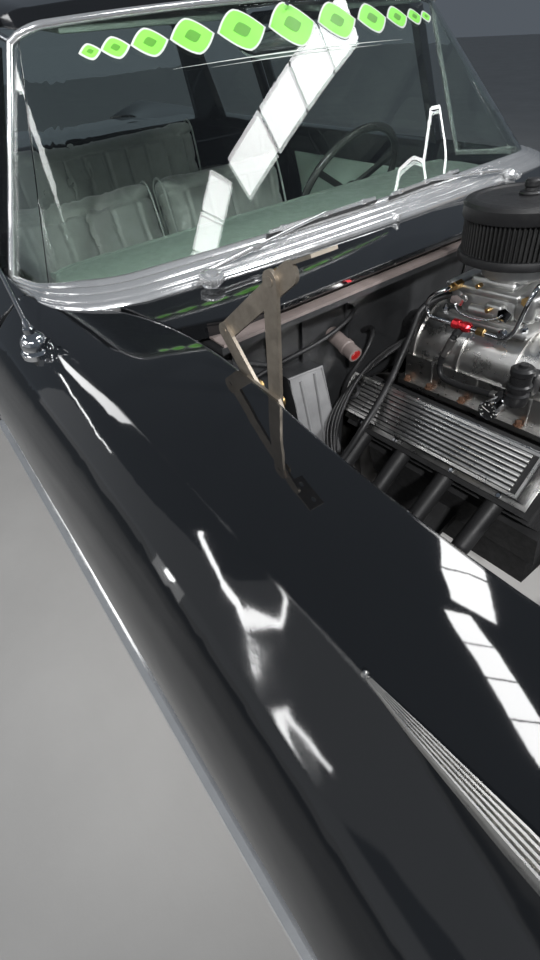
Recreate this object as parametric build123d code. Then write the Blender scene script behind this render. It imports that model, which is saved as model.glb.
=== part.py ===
from build123d import *
import math
import os

# A two-door sedan hot rod, in millimetres.
# +X is forward, +Y is the car's left and +Z is up. The origin is on the ground
# under the middle of the car's length.

# Overall stance
wheelbase = 2921.0
front_axle_x = 1690.0
rear_axle_x = front_axle_x - wheelbase
track_front = 1473.0
track_rear = 1494.0
tyre_radius = 350.0
tyre_width = 205.0
rim_radius = 190.0
rim_width = 165.0
axle_z = tyre_radius
gap = 5.0
seat_gap = 0.3

# Steering geometry
kingpin_y = 605.0
kingpin_radius = 16.0

# Body
fender_wall = 10.0
panel_gap = 4.0
fender_front_x = 2330.0
door_front_x = 619.0
door_rear_x = -559.0
hinge_x = 679.0
hinge_y = 893.0
hinge_pin = 6.0
hinge_heights = (480.0, 800.0)
hinge_strap = 12.0
door_front_swing = 85.5
post_y = 800.0
apron_y = 650.7
quarter_rear_x = -2360.0
arch_radius = 405.0
door_inner_low_y = 822.0
window_foot_y = 778.0
window_foot_z = 1000.0
window_head_y = 622.0
window_head_z = 1375.0
glass = 5.0

# Windshield
shield_foot_x = 797.0
shield_foot_z = 1000.0
shield_corner_x = 430.0
shield_corner_y = 787.0
shield_corner_z = 956.0
shield_head_x = 432.0
shield_head_z = 1386.0
shield_post_x = 372.0
shield_post_y = 606.0
shield_post_z = 1350.0
shield_glass = 6.0

# Cowl and hood opening
cowl_front_x = 975.0
cowl_side_x = 928.0
firewall_x = 905.0
firewall_wall = 6.0

# Headlamps
lamp_y = 775.0
lamp_z = 790.0
lamp_radius = 95.0

# Deck and trunk
lid_front_x = -1505.0
lid_half_width = 628.0
lid_wall = 22.0
lid_rear_x = -2352.0
lid_low_z = 720.0
lid_hinge_x = -1502.5
lid_hinge_z = 991.0
lid_hinge_y = (-420.0, 420.0)

# Rear licence plate's bolts
plate_z = 600.0
plate_spacing_y = 178.0
plate_spacing_z = 121.0
plate_hole = 7.0

# Engine
crank_x = 965.0
crank_z = 439.0
engine_tilt = 4.6
block_length = 500.0
cover_length = 472.0
cover_height = 70.0
blower_rear_x = 70.0
blower_front_x = 450.0
blower_side_y = 105.0
blower_foot_z = 240.0
blower_axis_z = 314.0
blower_radius = 98.0
carb_x = 225.0
cleaner_x = 235.0
cleaner_radius = 112.0

# Floor and frame
floor_z = 330.0
floor_wall = 6.0
pan_z = 500.0
pan_step_x = -625.0
house_y0 = 617.0
house_y1 = 820.0
rail_width = 75.0
rail_height = 110.0
rail_z = 260.0

# Steering wheel and column
wheel_y = 380.0
wheel_centre = Vector(290, wheel_y, 905)
column_foot = Vector(840, wheel_y, 640)
column_way = (wheel_centre - column_foot).normalized()
column_top = wheel_centre - column_way * (60 + seat_gap)
column_radius = 26.0

# The raised hood hinge's pivots in side view, as x and z
hood_plate_y = apron_y - 8.3
hood_rear_pivot = (1090.0, 1032.0)
hood_middle_pivot = (1209.0, 1135.0)
hood_rear_foot = (1155.0, 968.0)
hood_front_foot = (1203.0, 966.0)
hood_strap_end = (1238.0, 1150.0)
flange_tilt = 24.0

# Door and side window outlines in side view, as x and z
door_frame_outline = ((352, 1000), (318, 1352), (250, 1366), (-100, 1378), (-540, 1380), (-556, 1000))
door_window_outline = ((322, 1002), (292, 1328), (245, 1338), (-100, 1350), (-512, 1352), (-526, 1002))
quarter_window_outline = ((-600, 996), (-590, 1392), (-1010, 1392), (-1060, 996))

# The goose neck of a door hinge, as x and y from its pin
strap_outline = ((-96, -32), (-66, -38), (-44, -52), (-14, -40), (-9, -9), (9, -9), (9, -48),
                 (-30, -76), (-60, -64), (-96, -56))

# The rear window's foot and head: middle x, end x, end y and height
back_glass = ((-1428.0, -1290.0, 728.0, 996.0), (-1128.0, -1092.0, 560.0, 1396.0))

# The floor's tunnel by stations: x, half width and top height
tunnel_stations = (
    (904.0, 205.0, 648.0),
    (760.0, 165.0, 575.0),
    (430.0, 135.0, 530.0),
    (180.0, 80.0, 455.0),
    (-631.0, 80.0, 450.0),
)

# The body's side by stations: x, then the y and z of the lower lip, the side
# moulding, the soft shoulder, the crease and the inner edge, and the bow of the
# face between shoulder and crease (hollow where it is below zero)
body_stations = (
    (2330.0, 880.0, 420.0, 922.0, 731.0, 888.0, 845.0, 800.0, 942.0, 655.0, 935.0, -6.0),
    (2000.0, 898.0, 345.0, 946.0, 737.0, 897.0, 862.0, 814.0, 957.0, 655.0, 954.0, -10.0),
    (1600.0, 904.0, 330.0, 951.0, 745.0, 884.0, 895.0, 814.0, 967.0, 653.0, 968.0, -5.0),
    (1300.0, 905.0, 330.0, 951.0, 751.0, 878.0, 922.0, 813.0, 975.0, 651.0, 978.0, 2.0),
    (950.0, 905.0, 330.0, 951.0, 758.0, 879.0, 934.0, 813.0, 984.0, 651.0, 990.0, 3.0),
    (800.0, 905.0, 330.0, 951.0, 761.0, 880.0, 938.0, 813.0, 988.0, 698.0, 992.0, 3.0),
    (623.0, 905.0, 330.0, 951.0, 765.0, 880.0, 943.0, 813.0, 993.0, 793.0, 995.0, 3.0),
    (615.0, 905.0, 330.0, 951.0, 765.0, 880.0, 943.0, 813.0, 993.0, 745.0, 996.0, 3.0),
    (0.0, 905.0, 330.0, 951.0, 777.0, 880.0, 953.0, 813.0, 1000.0, 745.0, 1000.0, 3.0),
    (-559.0, 905.0, 330.0, 951.0, 789.0, 880.0, 958.0, 815.0, 1004.0, 745.0, 1002.0, 3.0),
    (-1150.0, 905.0, 330.0, 951.0, 800.0, 888.0, 962.0, 832.0, 1008.0, 745.0, 1000.0, 3.0),
    (-1500.0, 903.0, 335.0, 949.0, 807.0, 896.0, 965.0, 846.0, 1012.0, 636.0, 985.0, -2.0),
    (-1900.0, 897.0, 350.0, 944.0, 815.0, 902.0, 967.0, 862.0, 1016.0, 636.0, 968.0, -3.0),
    (-2360.0, 880.0, 400.0, 925.0, 824.0, 896.0, 970.0, 868.0, 1018.0, 636.0, 948.0, -3.0),
)
station_names = ("x", "lip_y", "lip_z", "side_y", "side_z", "shoulder_y", "shoulder_z",
                 "crease_y", "crease_z", "top_y", "top_z", "bow")

# The roof by stations: x, crown height, rail height, rail half width
roof_stations = (
    (470.0, 1392.0, 1352.0, 578.0),
    (300.0, 1436.0, 1378.0, 618.0),
    (0.0, 1478.0, 1396.0, 640.0),
    (-400.0, 1500.0, 1402.0, 644.0),
    (-800.0, 1486.0, 1394.0, 630.0),
    (-1130.0, 1432.0, 1366.0, 596.0),
)
roof_wall = 26.0


def station(x):
    """Values of the body's side at x, from straight lines between stations"""
    rows = body_stations
    for front, rear in zip(rows, rows[1:]):
        if x >= rear[0] - 0.001:
            share = (front[0] - x) / (front[0] - rear[0])
            row = [a + (b - a) * share for a, b in zip(front, rear)]
            return dict(zip(station_names, row))
    return dict(zip(station_names, rows[-1]))


def bowed(a, b, bow, x):
    """An arc in the plane at x from a to b, bowed to the right of its way"""
    start = Vector(x, *a)
    end = Vector(x, *b)
    if abs(bow) < 0.05:
        return Edge.make_line(start, end)
    way = end - start
    side = Vector(0, way.Z, -way.Y).normalized()
    return Edge.make_three_point_arc(start, (start + end) * 0.5 + side * bow, end)


def side_section(x, inner):
    """The closed outline of a side wall at x; inner gives its inside points"""
    s = station(x)
    lip = (s["lip_y"], s["lip_z"])
    side = (s["side_y"], s["side_z"])
    shoulder = (s["shoulder_y"], s["shoulder_z"])
    crease = (s["crease_y"], s["crease_z"])
    top = (s["top_y"], s["top_z"])
    edges = [
        bowed(lip, side, 11.0, x),
        bowed(side, shoulder, 15.0, x),
        bowed(shoulder, crease, s["bow"], x),
        bowed(crease, top, 3.0, x),
    ]
    points = inner(s, lip, side, shoulder, crease, top)
    path = [top] + points + [lip]
    edges += [bowed(a, b, 0, x) for a, b in zip(path, path[1:])]
    return Wire(edges)


def side_wall(places, inner, ruled=False):
    return Solid.make_loft([side_section(x, inner) for x in places], ruled)


def sheet_inside(wall):
    def inner(s, lip, side, shoulder, crease, top):
        return [
            (top[0], top[1] - wall * 2.2),
            (top[0] + wall, top[1] - wall * 2.2),
            (top[0] + wall, top[1] - wall),
            (crease[0] - wall * 0.3, crease[1] - wall * 1.1),
            (shoulder[0] - wall * 0.8, shoulder[1] - wall * 0.8),
            (side[0] - wall, side[1]),
            (lip[0] - wall, lip[1]),
        ]
    return inner


def quarter_inside(s, lip, side, shoulder, crease, top):
    return [
        (top[0], top[1] - 44),
        (top[0] + 18, top[1] - 44),
        (top[0] + 18, top[1] - 22),
        (door_inner_low_y, crease[1] - 62),
        (door_inner_low_y, lip[1]),
    ]


def door_inside(s, lip, side, shoulder, crease, top):
    return [(door_inner_low_y, 700.0), (door_inner_low_y, lip[1])]


def block(x0, x1, y0, y1, z0, z1):
    size = Box(abs(x1 - x0), abs(y1 - y0), abs(z1 - z0))
    return Pos((x0 + x1) / 2, (y0 + y1) / 2, (z0 + z1) / 2) * size


def rod(a, b, radius):
    way = Vector(*b) - Vector(*a)
    return Solid.make_cylinder(radius, way.length, Plane(origin=a, z_dir=way))


def ball(place, radius):
    return Pos(*place) * Sphere(radius)


def beam(a, b, width, height):
    """A straight box beam from a to b, upright"""
    way = (Vector(*b) - Vector(*a))
    flat = Vector(-way.Y, way.X, 0).normalized()
    frame = Plane(origin=a, x_dir=flat, z_dir=way.normalized())
    return extrude(frame * Rectangle(width, height), way.length)


def tapered(low, high):
    """A post between two level rectangles, each as x0, x1, y0, y1, z"""
    wires = []
    for x0, x1, y0, y1, z in (low, high):
        corners = [(x0, y0, z), (x1, y0, z), (x1, y1, z), (x0, y1, z)]
        wires.append(Wire.make_polygon([Vector(*p) for p in corners], close=True))
    return Solid.make_loft(wires, True)


def profile_y(points, y0, y1):
    """A side view outline in x and z, from y0 to y1"""
    face = Face(Wire.make_polygon([Vector(x, y0, z) for x, z in points], close=True))
    return extrude(face, abs(y1 - y0), dir=(0, 1 if y1 > y0 else -1, 0))


def profile_z(points, z0, z1):
    face = Face(Wire.make_polygon([Vector(x, y, z0) for x, y in points], close=True))
    return extrude(face, z1 - z0, dir=(0, 0, 1))


def profile_x(points, x0, x1):
    face = Face(Wire.make_polygon([Vector(x0, y, z) for y, z in points], close=True))
    return extrude(face, abs(x1 - x0), dir=(1 if x1 > x0 else -1, 0, 0))


def other_side(shape):
    return mirror(shape, Plane.XZ)


def fused(*shapes):
    whole = shapes[0]
    for shape in shapes[1:]:
        whole = whole + shape
    return whole


def fitted(shape, *neighbours):
    """The largest solid that is left of a piece outside its neighbours"""
    for neighbour in neighbours:
        shape = shape - neighbour
    return max(shape.solids(), key=lambda piece: piece.volume)


def on_side(shape, side):
    return shape if side > 0 else other_side(shape)


def both(shape):
    """A piece and its twin on the other side, as separate solids"""
    twins = list(shape.solids()) + list(other_side(shape).solids())
    return Compound(children=twins)


nodes = {}


def shield_wire(inset, head=False):
    """Points of the windshield's curve at its foot or head"""
    def mix(low, high):
        return high if head else low

    def point(low_x, low_y, high_x, high_y, side):
        x = mix(low_x, high_x)
        y = mix(low_y, high_y)
        low_slope = (shield_foot_z - shield_corner_z) / (shield_foot_x - shield_corner_x)
        high_slope = (shield_head_z - shield_post_z) / (shield_head_x - shield_post_x)
        low_z = shield_corner_z + (low_x - shield_corner_x) * low_slope
        high_z = shield_post_z + (high_x - shield_post_x) * high_slope
        return Vector(x, y * side, mix(low_z, high_z))

    table = (
        (shield_corner_x, shield_corner_y - inset, shield_post_x, shield_post_y - inset),
        (640 - inset * 0.3, 764 - inset, 388 - inset * 0.5, 592 - inset * 0.8),
        (738 - inset * 0.7, 706 - inset * 0.7, 400 - inset * 0.8, 572 - inset * 0.6),
        (775 - inset, 600 - inset * 0.3, 408 - inset, 536 - inset * 0.3),
    )
    left = [point(*row, 1) for row in table]
    right = [point(*row, -1) for row in table]
    middle = point(shield_foot_x - inset, 0, shield_head_x - inset, 0, 1)
    return left, middle, right


def shield_edges(inset, head=False):
    left, middle, right = shield_wire(inset, head)
    return [
        Edge.make_line(left[0], left[1]),
        Edge.make_three_point_arc(left[1], left[2], left[3]),
        Edge.make_three_point_arc(left[3], middle, right[3]),
        Edge.make_three_point_arc(right[3], right[2], right[1]),
        Edge.make_line(right[1], right[0]),
    ]


def shield_shell(outer, inner):
    """The windshield's curved wall between two insets"""
    wires = []
    for head in (False, True):
        out = shield_edges(outer, head=head)
        into = shield_edges(inner, head=head)
        ends = [
            Edge.make_line(out[0].position_at(0), into[0].position_at(0)),
            Edge.make_line(out[-1].position_at(1), into[-1].position_at(1)),
        ]
        wires.append(Wire(out + into + ends))
    return Solid.make_loft(wires, True)


def shield_room(inset, back_x=250.0):
    """The space behind the windshield's curve, run on past its head"""
    wires = []
    for head in (False, True):
        out = shield_edges(inset, head=head)
        first = out[0].position_at(0)
        last = out[-1].position_at(1)
        middle = out[2].position_at(0.5)
        slope = (middle.Z - first.Z) / (middle.X - first.X)
        back_z = first.Z + (back_x - first.X) * slope
        corners = [last, Vector(back_x, last.Y, back_z), Vector(back_x, first.Y, back_z), first]
        closing = [Edge.make_line(a, b) for a, b in zip(corners, corners[1:])]
        wires.append(Wire(out + closing))
    above = extrude(Face(wires[1]), 120, dir=(-1, 0, 1.1))
    return Solid.make_loft(wires, True) + above


def make_windshield():
    return shield_shell(0.0, shield_glass)


def roof_section(row):
    x, crown, rail, half = row
    def arch(drop, narrow):
        low = Vector(x, half - narrow, rail - drop * 0.2)
        top = Vector(x, 0, crown - drop)
        knee_y = half - narrow - 55
        knee_z = rail + (crown - rail) * 0.52 - drop * 0.8
        knee = Vector(x, knee_y, knee_z)
        mid = Vector(x, half - narrow - 15, rail + (crown - rail) * 0.27 - drop * 0.6)
        flip = [Vector(p.X, -p.Y, p.Z) for p in (low, mid, knee)]
        return [
            Edge.make_three_point_arc(low, mid, knee),
            Edge.make_three_point_arc(knee, top, flip[2]),
            Edge.make_three_point_arc(flip[2], flip[1], flip[0]),
        ]
    out = arch(0, 0)
    into = arch(roof_wall, roof_wall)
    ends = [
        Edge.make_line(out[0].position_at(0), into[0].position_at(0)),
        Edge.make_line(out[-1].position_at(1), into[-1].position_at(1)),
    ]
    return Wire(out + into + ends)


def make_roof():
    panel = Solid.make_loft([roof_section(row) for row in roof_stations], False)
    ahead = block(320, 700, -700, 700, 1250, 1600)
    room = shield_room(shield_glass + seat_gap)
    panel = panel - ahead + (panel & ahead & room)
    front_post = tapered((shield_corner_x - 52, shield_corner_x - 2, 742, 786, 958),
                         (shield_post_x - 50, shield_post_x - 2, 566, 603, 1362))
    middle_post = tapered((-616, -582, 742, 772, 990), (-604, -578, 582, 612, 1400))
    rear_post = tapered((-1330, -1045, 736, 772, 990), (-1128, -1000, 556, 594, 1392))
    posts = [front_post, middle_post, rear_post]
    whole = panel
    for post in posts:
        whole = whole + post + other_side(post)
    return fitted(whole, nodes["quarter_left"], nodes["quarter_right"])


def glass_frame(x):
    """The tilted plane of the side windows, at x on its foot"""
    rise = window_head_z - window_foot_z
    lean = window_foot_y - window_head_y
    outward = Vector(0, rise, lean).normalized()
    return Plane(origin=(x, window_foot_y, window_foot_z), x_dir=(1, 0, 0), z_dir=outward)


def tilted_plate(points, depth_out, depth_in):
    """A flat plate in the side windows' plane from x and z points"""
    rise = window_head_z - window_foot_z
    lean = window_foot_y - window_head_y
    stretch = math.hypot(rise, lean) / rise
    frame = glass_frame(0)
    sign = 1 if frame.y_dir.Z > 0 else -1
    flat = [(x, sign * (z - window_foot_z) * stretch) for x, z in points]
    corners = [frame.from_local_coords(Vector(*p, 0)) for p in flat]
    face = Face(Wire.make_polygon(corners, close=True))
    outward = frame.z_dir
    plate = extrude(face, depth_out + depth_in, dir=tuple(outward))
    return plate.moved(Location(tuple(outward * -depth_in)))


def door_strap(height):
    points = [(hinge_x + x, hinge_y + y) for x, y in strap_outline]
    low = height - hinge_strap / 2
    strap = profile_z(points, low, low + hinge_strap)
    strap = strap + Pos(hinge_x, hinge_y, height) * Cylinder(10, hinge_strap)
    return strap - Pos(hinge_x, hinge_y, height) * Cylinder(hinge_pin + seat_gap, 40)


def hinge_bracket(height):
    """Two ears on the door post and the pin between them"""
    near = hinge_strap / 2 + seat_gap
    ears = [block(hinge_x - 14, hinge_x + 14, post_y, hinge_y + 9, z, z + 7)
            for z in (height + near, height - near - 7)]
    pin = Pos(hinge_x, hinge_y, height) * Cylinder(hinge_pin, 2 * near + 2)
    return fused(*ears, pin)


def make_door():
    places = (door_front_x - panel_gap, 400.0, 0.0, -300.0, door_rear_x)
    skin = side_wall(places, door_inside)
    swing = math.hypot(hinge_x - door_rear_x - panel_gap, 951 - hinge_y)
    reach = Pos(hinge_x, hinge_y, 700) * Cylinder(swing, 900)
    turning = Pos(hinge_x, hinge_y, 700) * Cylinder(door_front_swing, 900)
    shell = (skin & reach) - turning
    notch = block(300, 700, 600, 799, 900, 1100)
    frame = tilted_plate(door_frame_outline, 4, 24)
    window = tilted_plate(door_window_outline, 40, 60)
    frame = frame - window
    shell = shell - notch
    slot = tilted_plate(((325, 940), (325, 1100), (-528, 1100), (-528, 940)), seat_gap, glass + seat_gap)
    door = (shell + frame) - slot
    for height in hinge_heights:
        door = door + door_strap(height)
    return door


def make_door_glass():
    outline = ((324, 950), (321.5, 1002), (291.5, 1327.5), (245, 1337.5), (-100, 1349.5),
               (-511.5, 1351.5), (-525.5, 1002), (-527, 950))
    return tilted_plate(outline, 0, glass)


def wheel_arch(x, radius):
    return Pos(x, 0, axle_z) * (Rot(90, 0, 0) * Cylinder(radius, 2200))


def make_fender():
    places = (fender_front_x, 2000.0, 1600.0, 1300.0, 950.0, 800.0, door_front_x + panel_gap)
    skin = side_wall(places, sheet_inside(fender_wall))
    s = station(fender_front_x)
    face = ((lamp_y - lamp_radius - 4, s["top_z"] - 8), (s["crease_y"] - 4, s["crease_z"] - 8),
            (s["shoulder_y"] - 4, s["shoulder_z"] - 4), (s["side_y"] - 4, s["side_z"]),
            (s["side_y"] - 16, 600), (lamp_y - lamp_radius - 4, 600))
    front = profile_x(face, fender_front_x - 8, fender_front_x)
    bore = Pos(fender_front_x, lamp_y, lamp_z) * (Rot(0, 90, 0) * Cylinder(lamp_radius + seat_gap, 60))
    return skin - wheel_arch(front_axle_x, arch_radius) + (front - bore)


def make_quarter():
    places = (door_rear_x - panel_gap, -850.0, -1150.0, -1500.0, -1900.0, quarter_rear_x)
    skin = side_wall(places, quarter_inside)
    skin = skin - block(quarter_rear_x - 10, lid_front_x + 20, 400, lid_half_width + 6, 700, 1100)
    return skin - wheel_arch(rear_axle_x, arch_radius - 15)


def make_cowl_top():
    side_shape = ((cowl_front_x, 962), (cowl_front_x, 974), (800, 996), (640, 990), (380, 958),
                  (380, 938), (640, 965), (790, 965), (cowl_front_x - 20, 945), (cowl_front_x - 20, 962))
    slab = profile_y(side_shape, -790, 790)
    half = [(cowl_front_x, 440), (cowl_side_x, 640), (800, 686), (628, 782), (600, 790), (380, 790),
            (380, 748), (600, 748), (660, 712), (700, 640), (735, 560)]
    plan = half + [(x, -y) for x, y in reversed(half)]
    top = slab & profile_z(plan, 900, 1010)
    room = shield_room(-seat_gap)
    return top - room


def make_firewall():
    wall = block(firewall_x, firewall_x + firewall_wall, -640, 640, 420, 965)
    ribs = [block(firewall_x + firewall_wall, firewall_x + firewall_wall + 8, y - 12, y + 12, 560, 900)
            for y in (-520, -430, -340, 340, 430, 520)]
    stub = rod((firewall_x, -260, 830), (firewall_x + 90, -270, 815), 14)
    face = firewall_x + firewall_wall
    channel = profile_y(((face, 930), (990, 934), (990, 946), (985, 946), (985, 939), (face, 936)), -590, 590)
    heater_box = profile_x(((-424, 799), (-330, 791), (-249, 481), (-330, 481), (-397, 670)), face, 955)
    opening = block(800, 1000, -212, 212, 400, 655)
    return fitted(fused(wall, *ribs, stub, channel, heater_box) - opening, nodes["cowl_top"])


def tunnel_wire(x, half, top, wall):
    points = [(-half - 12, floor_z), (-half, top - 40), (-half + 40, top), (half - 40, top), (half, top - 40),
              (half + 12, floor_z), (half + 12 - wall, floor_z), (half - wall, top - 40 - wall / 2),
              (half - 40, top - wall), (40 - half, top - wall), (wall - half, top - 40 - wall / 2),
              (wall - half - 12, floor_z)]
    return Wire.make_polygon([Vector(x, y, z) for y, z in points], close=True)


def tunnel_room(x, half, top):
    points = [(-half - 8, floor_z - 20), (-half + 3, top - 42), (42 - half, top - 3), (half - 42, top - 3),
              (half - 3, top - 42), (half + 8, floor_z - 20)]
    return Wire.make_polygon([Vector(x, y, z) for y, z in points], close=True)


def make_floor():
    """Front floor, tunnel, toe board and the step up to the rear pan"""
    pan = block(pan_step_x, 715, -post_y + 6, post_y - 6, floor_z, floor_z + floor_wall)
    toe = profile_y(((firewall_x - 1, 420), (firewall_x - 7, 420), (700, floor_z), (720, floor_z)), -640, 640)
    tunnel = Solid.make_loft([tunnel_wire(*row, 6.0) for row in tunnel_stations], True)
    room = Solid.make_loft([tunnel_room(*row) for row in tunnel_stations], True)
    step = block(pan_step_x - 6, pan_step_x, -post_y + 6, post_y - 6, floor_z, pan_z)
    step = step - block(pan_step_x - 10, pan_step_x + 5, -72, 72, floor_z - 1, 440)
    return fused(fused(pan, toe) - room, tunnel, step)


def make_rear_pan():
    """The raised floor over the axle and in the trunk, with its wheel houses"""
    pan = block(-2318, pan_step_x, -house_y0, house_y0, pan_z, pan_z + floor_wall)
    side_pan = block(-835, pan_step_x, house_y0, post_y, pan_z, pan_z + floor_wall)
    length = house_y1 - house_y0
    middle = (house_y1 + house_y0) / 2
    drum = Pos(rear_axle_x, middle, axle_z) * (Rot(90, 0, 0) * Cylinder(arch_radius, length))
    inside = Pos(rear_axle_x, middle + 6, axle_z) * (Rot(90, 0, 0) * Cylinder(arch_radius - 6, length))
    house = drum - inside - block(-1900, -500, 500, 1000, -100, floor_z)
    house = house - block(rear_axle_x - 180, rear_axle_x + 180, 600, 640, 300, 520)
    whole = pan
    for piece in (side_pan, house):
        whole = whole + piece + other_side(piece)
    return fitted(whole, nodes["quarter_left"], nodes["quarter_right"])


def make_sills():
    """Sills under the doors with the posts that the doors hang on and latch to"""
    sill = block(-815, 1180, post_y, 895, 240, floor_z - gap)
    sill = sill - block(-825, 1190, post_y + 6, 889, 246, floor_z - gap - 6)
    web = block(pan_step_x, 704, post_y - 6, post_y + 6, floor_z - gap - 3, floor_z + floor_wall)
    post = block(door_front_x + 2, door_front_x + 90, 735, post_y, floor_z + floor_wall, 936)
    latch_post = block(door_rear_x - 60, door_rear_x - 10, 742, post_y, floor_z + floor_wall, 956)
    brackets = [hinge_bracket(height) for height in hinge_heights]
    half = fused(sill, web, post, latch_post, *brackets)
    return both(fitted(half, nodes["quarter_left"], nodes["floor_pan"], nodes["cowl_top"]))


def make_deck():
    """The shelf and deck between rear window and trunk lid"""
    shape = ((-1180, 985), (-1180, 1000), (-1440, 1000), (lid_front_x + 5, 988),
             (lid_front_x + 5, 972), (-1430, 985))
    deck = profile_y(shape, -744, 744)
    for y in lid_hinge_y:
        ears = [block(lid_hinge_x - 6, lid_front_x + 12, y + a, y + a + 12, 974, lid_hinge_z + 6)
                for a in (-27.6, 15.6)]
        pin = rod((lid_hinge_x, y - 20, lid_hinge_z), (lid_hinge_x, y + 20, lid_hinge_z), 3)
        room = rod((lid_hinge_x, y - 15.3, lid_hinge_z), (lid_hinge_x, y + 15.3, lid_hinge_z), 7.5)
        deck = fused(deck - room, *ears, pin)
    return fitted(deck, nodes["quarter_left"], nodes["quarter_right"], nodes["roof"])


def make_rear_window():
    wires = []
    for mid_x, end_x, end_y, z in back_glass:
        curves = []
        for inset in (0, glass):
            ends = [Vector(end_x, side * (end_y - inset), z) for side in (1, -1)]
            curves.append(Edge.make_three_point_arc(ends[0], Vector(mid_x + inset, 0, z), ends[1]))
        joins = [Edge.make_line(curves[0].position_at(t), curves[1].position_at(t)) for t in (0, 1)]
        wires.append(Wire(curves + joins))
    whole = Solid.make_loft(wires, True)
    return fitted(whole, nodes["roof"], nodes["rear_deck"], nodes["quarter_left"], nodes["quarter_right"])


def make_trunk_lid():
    top = [(lid_front_x, 988), (-1800, 978), (-2150, 958), (-2290, 936), (-2335, 900),
           (lid_rear_x, lid_low_z)]
    under = [(lid_rear_x + lid_wall, lid_low_z), (-2312, 890), (-2275, 914), (-2140, 936), (-1800, 956),
             (lid_front_x, 966)]
    lid = profile_y(top + under, -lid_half_width, lid_half_width)
    for y in lid_hinge_y:
        barrel = rod((lid_hinge_x, y - 15, lid_hinge_z), (lid_hinge_x, y + 15, lid_hinge_z), 7)
        bore = rod((lid_hinge_x, y - 20, lid_hinge_z), (lid_hinge_x, y + 20, lid_hinge_z), 3 + seat_gap)
        lid = fused(lid, barrel) - bore
        for a in (-27.9, 15.3):
            lid = lid - block(lid_hinge_x - 12, lid_front_x + 1, y + a, y + a + 12.6, 960, 1000)
    return lid


def make_tail_panel():
    shape = ((-2340, 460), (-2356, 460), (-2356, lid_low_z - 6), (-2320, lid_low_z - 6),
             (-2320, lid_low_z - 20), (-2340, lid_low_z - 20))
    panel = profile_y(shape, -door_inner_low_y + seat_gap, door_inner_low_y - seat_gap)
    for y in (-plate_spacing_y / 2, plate_spacing_y / 2):
        for z in (plate_z - plate_spacing_z / 2, plate_z + plate_spacing_z / 2):
            hole = rod((-2330, y, z), (-2370, y, z), plate_hole / 2)
            panel = panel - hole
    return panel


def make_frame():
    front = beam((2250, 380, rail_z + 40), (1250, 380, rail_z), rail_width, rail_height)
    middle = beam((1270, 380, rail_z), (700, 520, rail_z - 30), rail_width, rail_height)
    long_rail = beam((720, 520, rail_z - 30), (-650, 520, rail_z - 30), rail_width, rail_height)
    kick = beam((-620, 510, rail_z - 30), (-960, 490, 442), rail_width, rail_height - 24)
    rear = beam((-930, 490, 442), (-2280, 490, 442), rail_width, rail_height - 24)
    half = fused(front, middle, long_rail, kick, rear)
    cross = [block(2130, 2210, -380, 380, 270, 340), block(1640, 1740, -380, 380, 200, 262),
             block(440, 500, -520, 520, 264, 284), block(-560, -500, -520, 520, 264, 284),
             block(-1700, -1640, -490, 490, 410, 470), block(-2280, -2220, -490, 490, 410, 470)]
    hangers = [block(-614, -570, 520, 551.7, 270, 320), block(-1992, -1948, 520, 551.7, 310, 420)]
    mounts = [block(x - 25, x + 25, 500, 540, 280, floor_z - seat_gap) for x in (620, 0, -480)]
    mounts += [block(x - 25, x + 25, 470, 510, 480, pan_z - seat_gap) for x in (-1450, -2150)]
    half = fused(half, *hangers, *mounts)
    whole = half + other_side(half)
    return fused(whole, *cross)


def make_aprons():
    out = apron_y
    wall = 8
    shape = ((out - wall, 952), (out, 952), (out, 850), (450, 520), (450, 360), (442, 360), (442, 523),
             (out - wall, 853))
    panel = profile_x(shape, cowl_front_x + 10, 2150)
    opening = block(front_axle_x - 165, front_axle_x + 165, 400, 500, 300, 530)
    return both(fitted(panel - opening, nodes["fender_left"]))


def make_radiator():
    core = block(2080, 2140.5, -300, 300, 400, 850)
    top = block(2070, 2140, -310, 310, 850, 900)
    low = block(2070, 2140, -310, 310, 353, 400)
    half = [(441.7, 340), (441.7, 523), (apron_y - 8.3, 853), (apron_y - 8.3, 905)]
    support = profile_x(half + [(-y, z) for y, z in reversed(half)], 2140.3, 2150)
    support = support - block(2130, 2160, -290, 290, 410, 840)
    return fitted(fused(core, top, low, support), nodes["chassis_frame"])


def make_nose():
    shape = ((2310, 872), (2330, 880), (2330, 896), (2160, 935), (2160, 925), (2310, 890))
    return profile_y(shape, -646, 646)


def make_grille():
    half = lamp_y - lamp_radius - 10
    bars = [block(2318, 2334, -half + 5, half - 5, z, z + 14) for z in (530, 575, 620, 665, 710, 755, 800)]
    posts = [block(2312, 2326, y, y + 14, 490, 866) for y in (-350, -7, 336)]
    rim = block(2310, 2345, -half, half, 482, 871.7) - block(2300, 2360, 18 - half, half - 18, 500, 853)
    return fused(rim, *bars, *posts)


def make_headlamps():
    def round_at(x, radius, length):
        return Pos(x, lamp_y, lamp_z) * (Rot(0, 90, 0) * Cylinder(radius, length))
    shell = round_at(2290, lamp_radius, 150)
    ring = round_at(2352, lamp_radius + 10, 42.6) - round_at(2368, lamp_radius - 7, 30)
    lens = round_at(2358, lamp_radius - 6, 14)
    return both(fused(shell, ring, lens))


def bumper_arc(x_mid, x_end, half, z0, z1, wall, front):
    sign = 1 if front else -1
    faces = []
    for depth in (0, sign * wall):
        end = x_end - depth
        faces.append(Edge.make_three_point_arc((end, half, z0), (x_mid - depth, 0, z0), (end, -half, z0)))
    out, into = faces
    ends = [Edge.make_line(out.position_at(t), into.position_at(t)) for t in (0, 1)]
    return extrude(Face(Wire([out, into] + ends)), z1 - z0, dir=(0, 0, 1))


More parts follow.
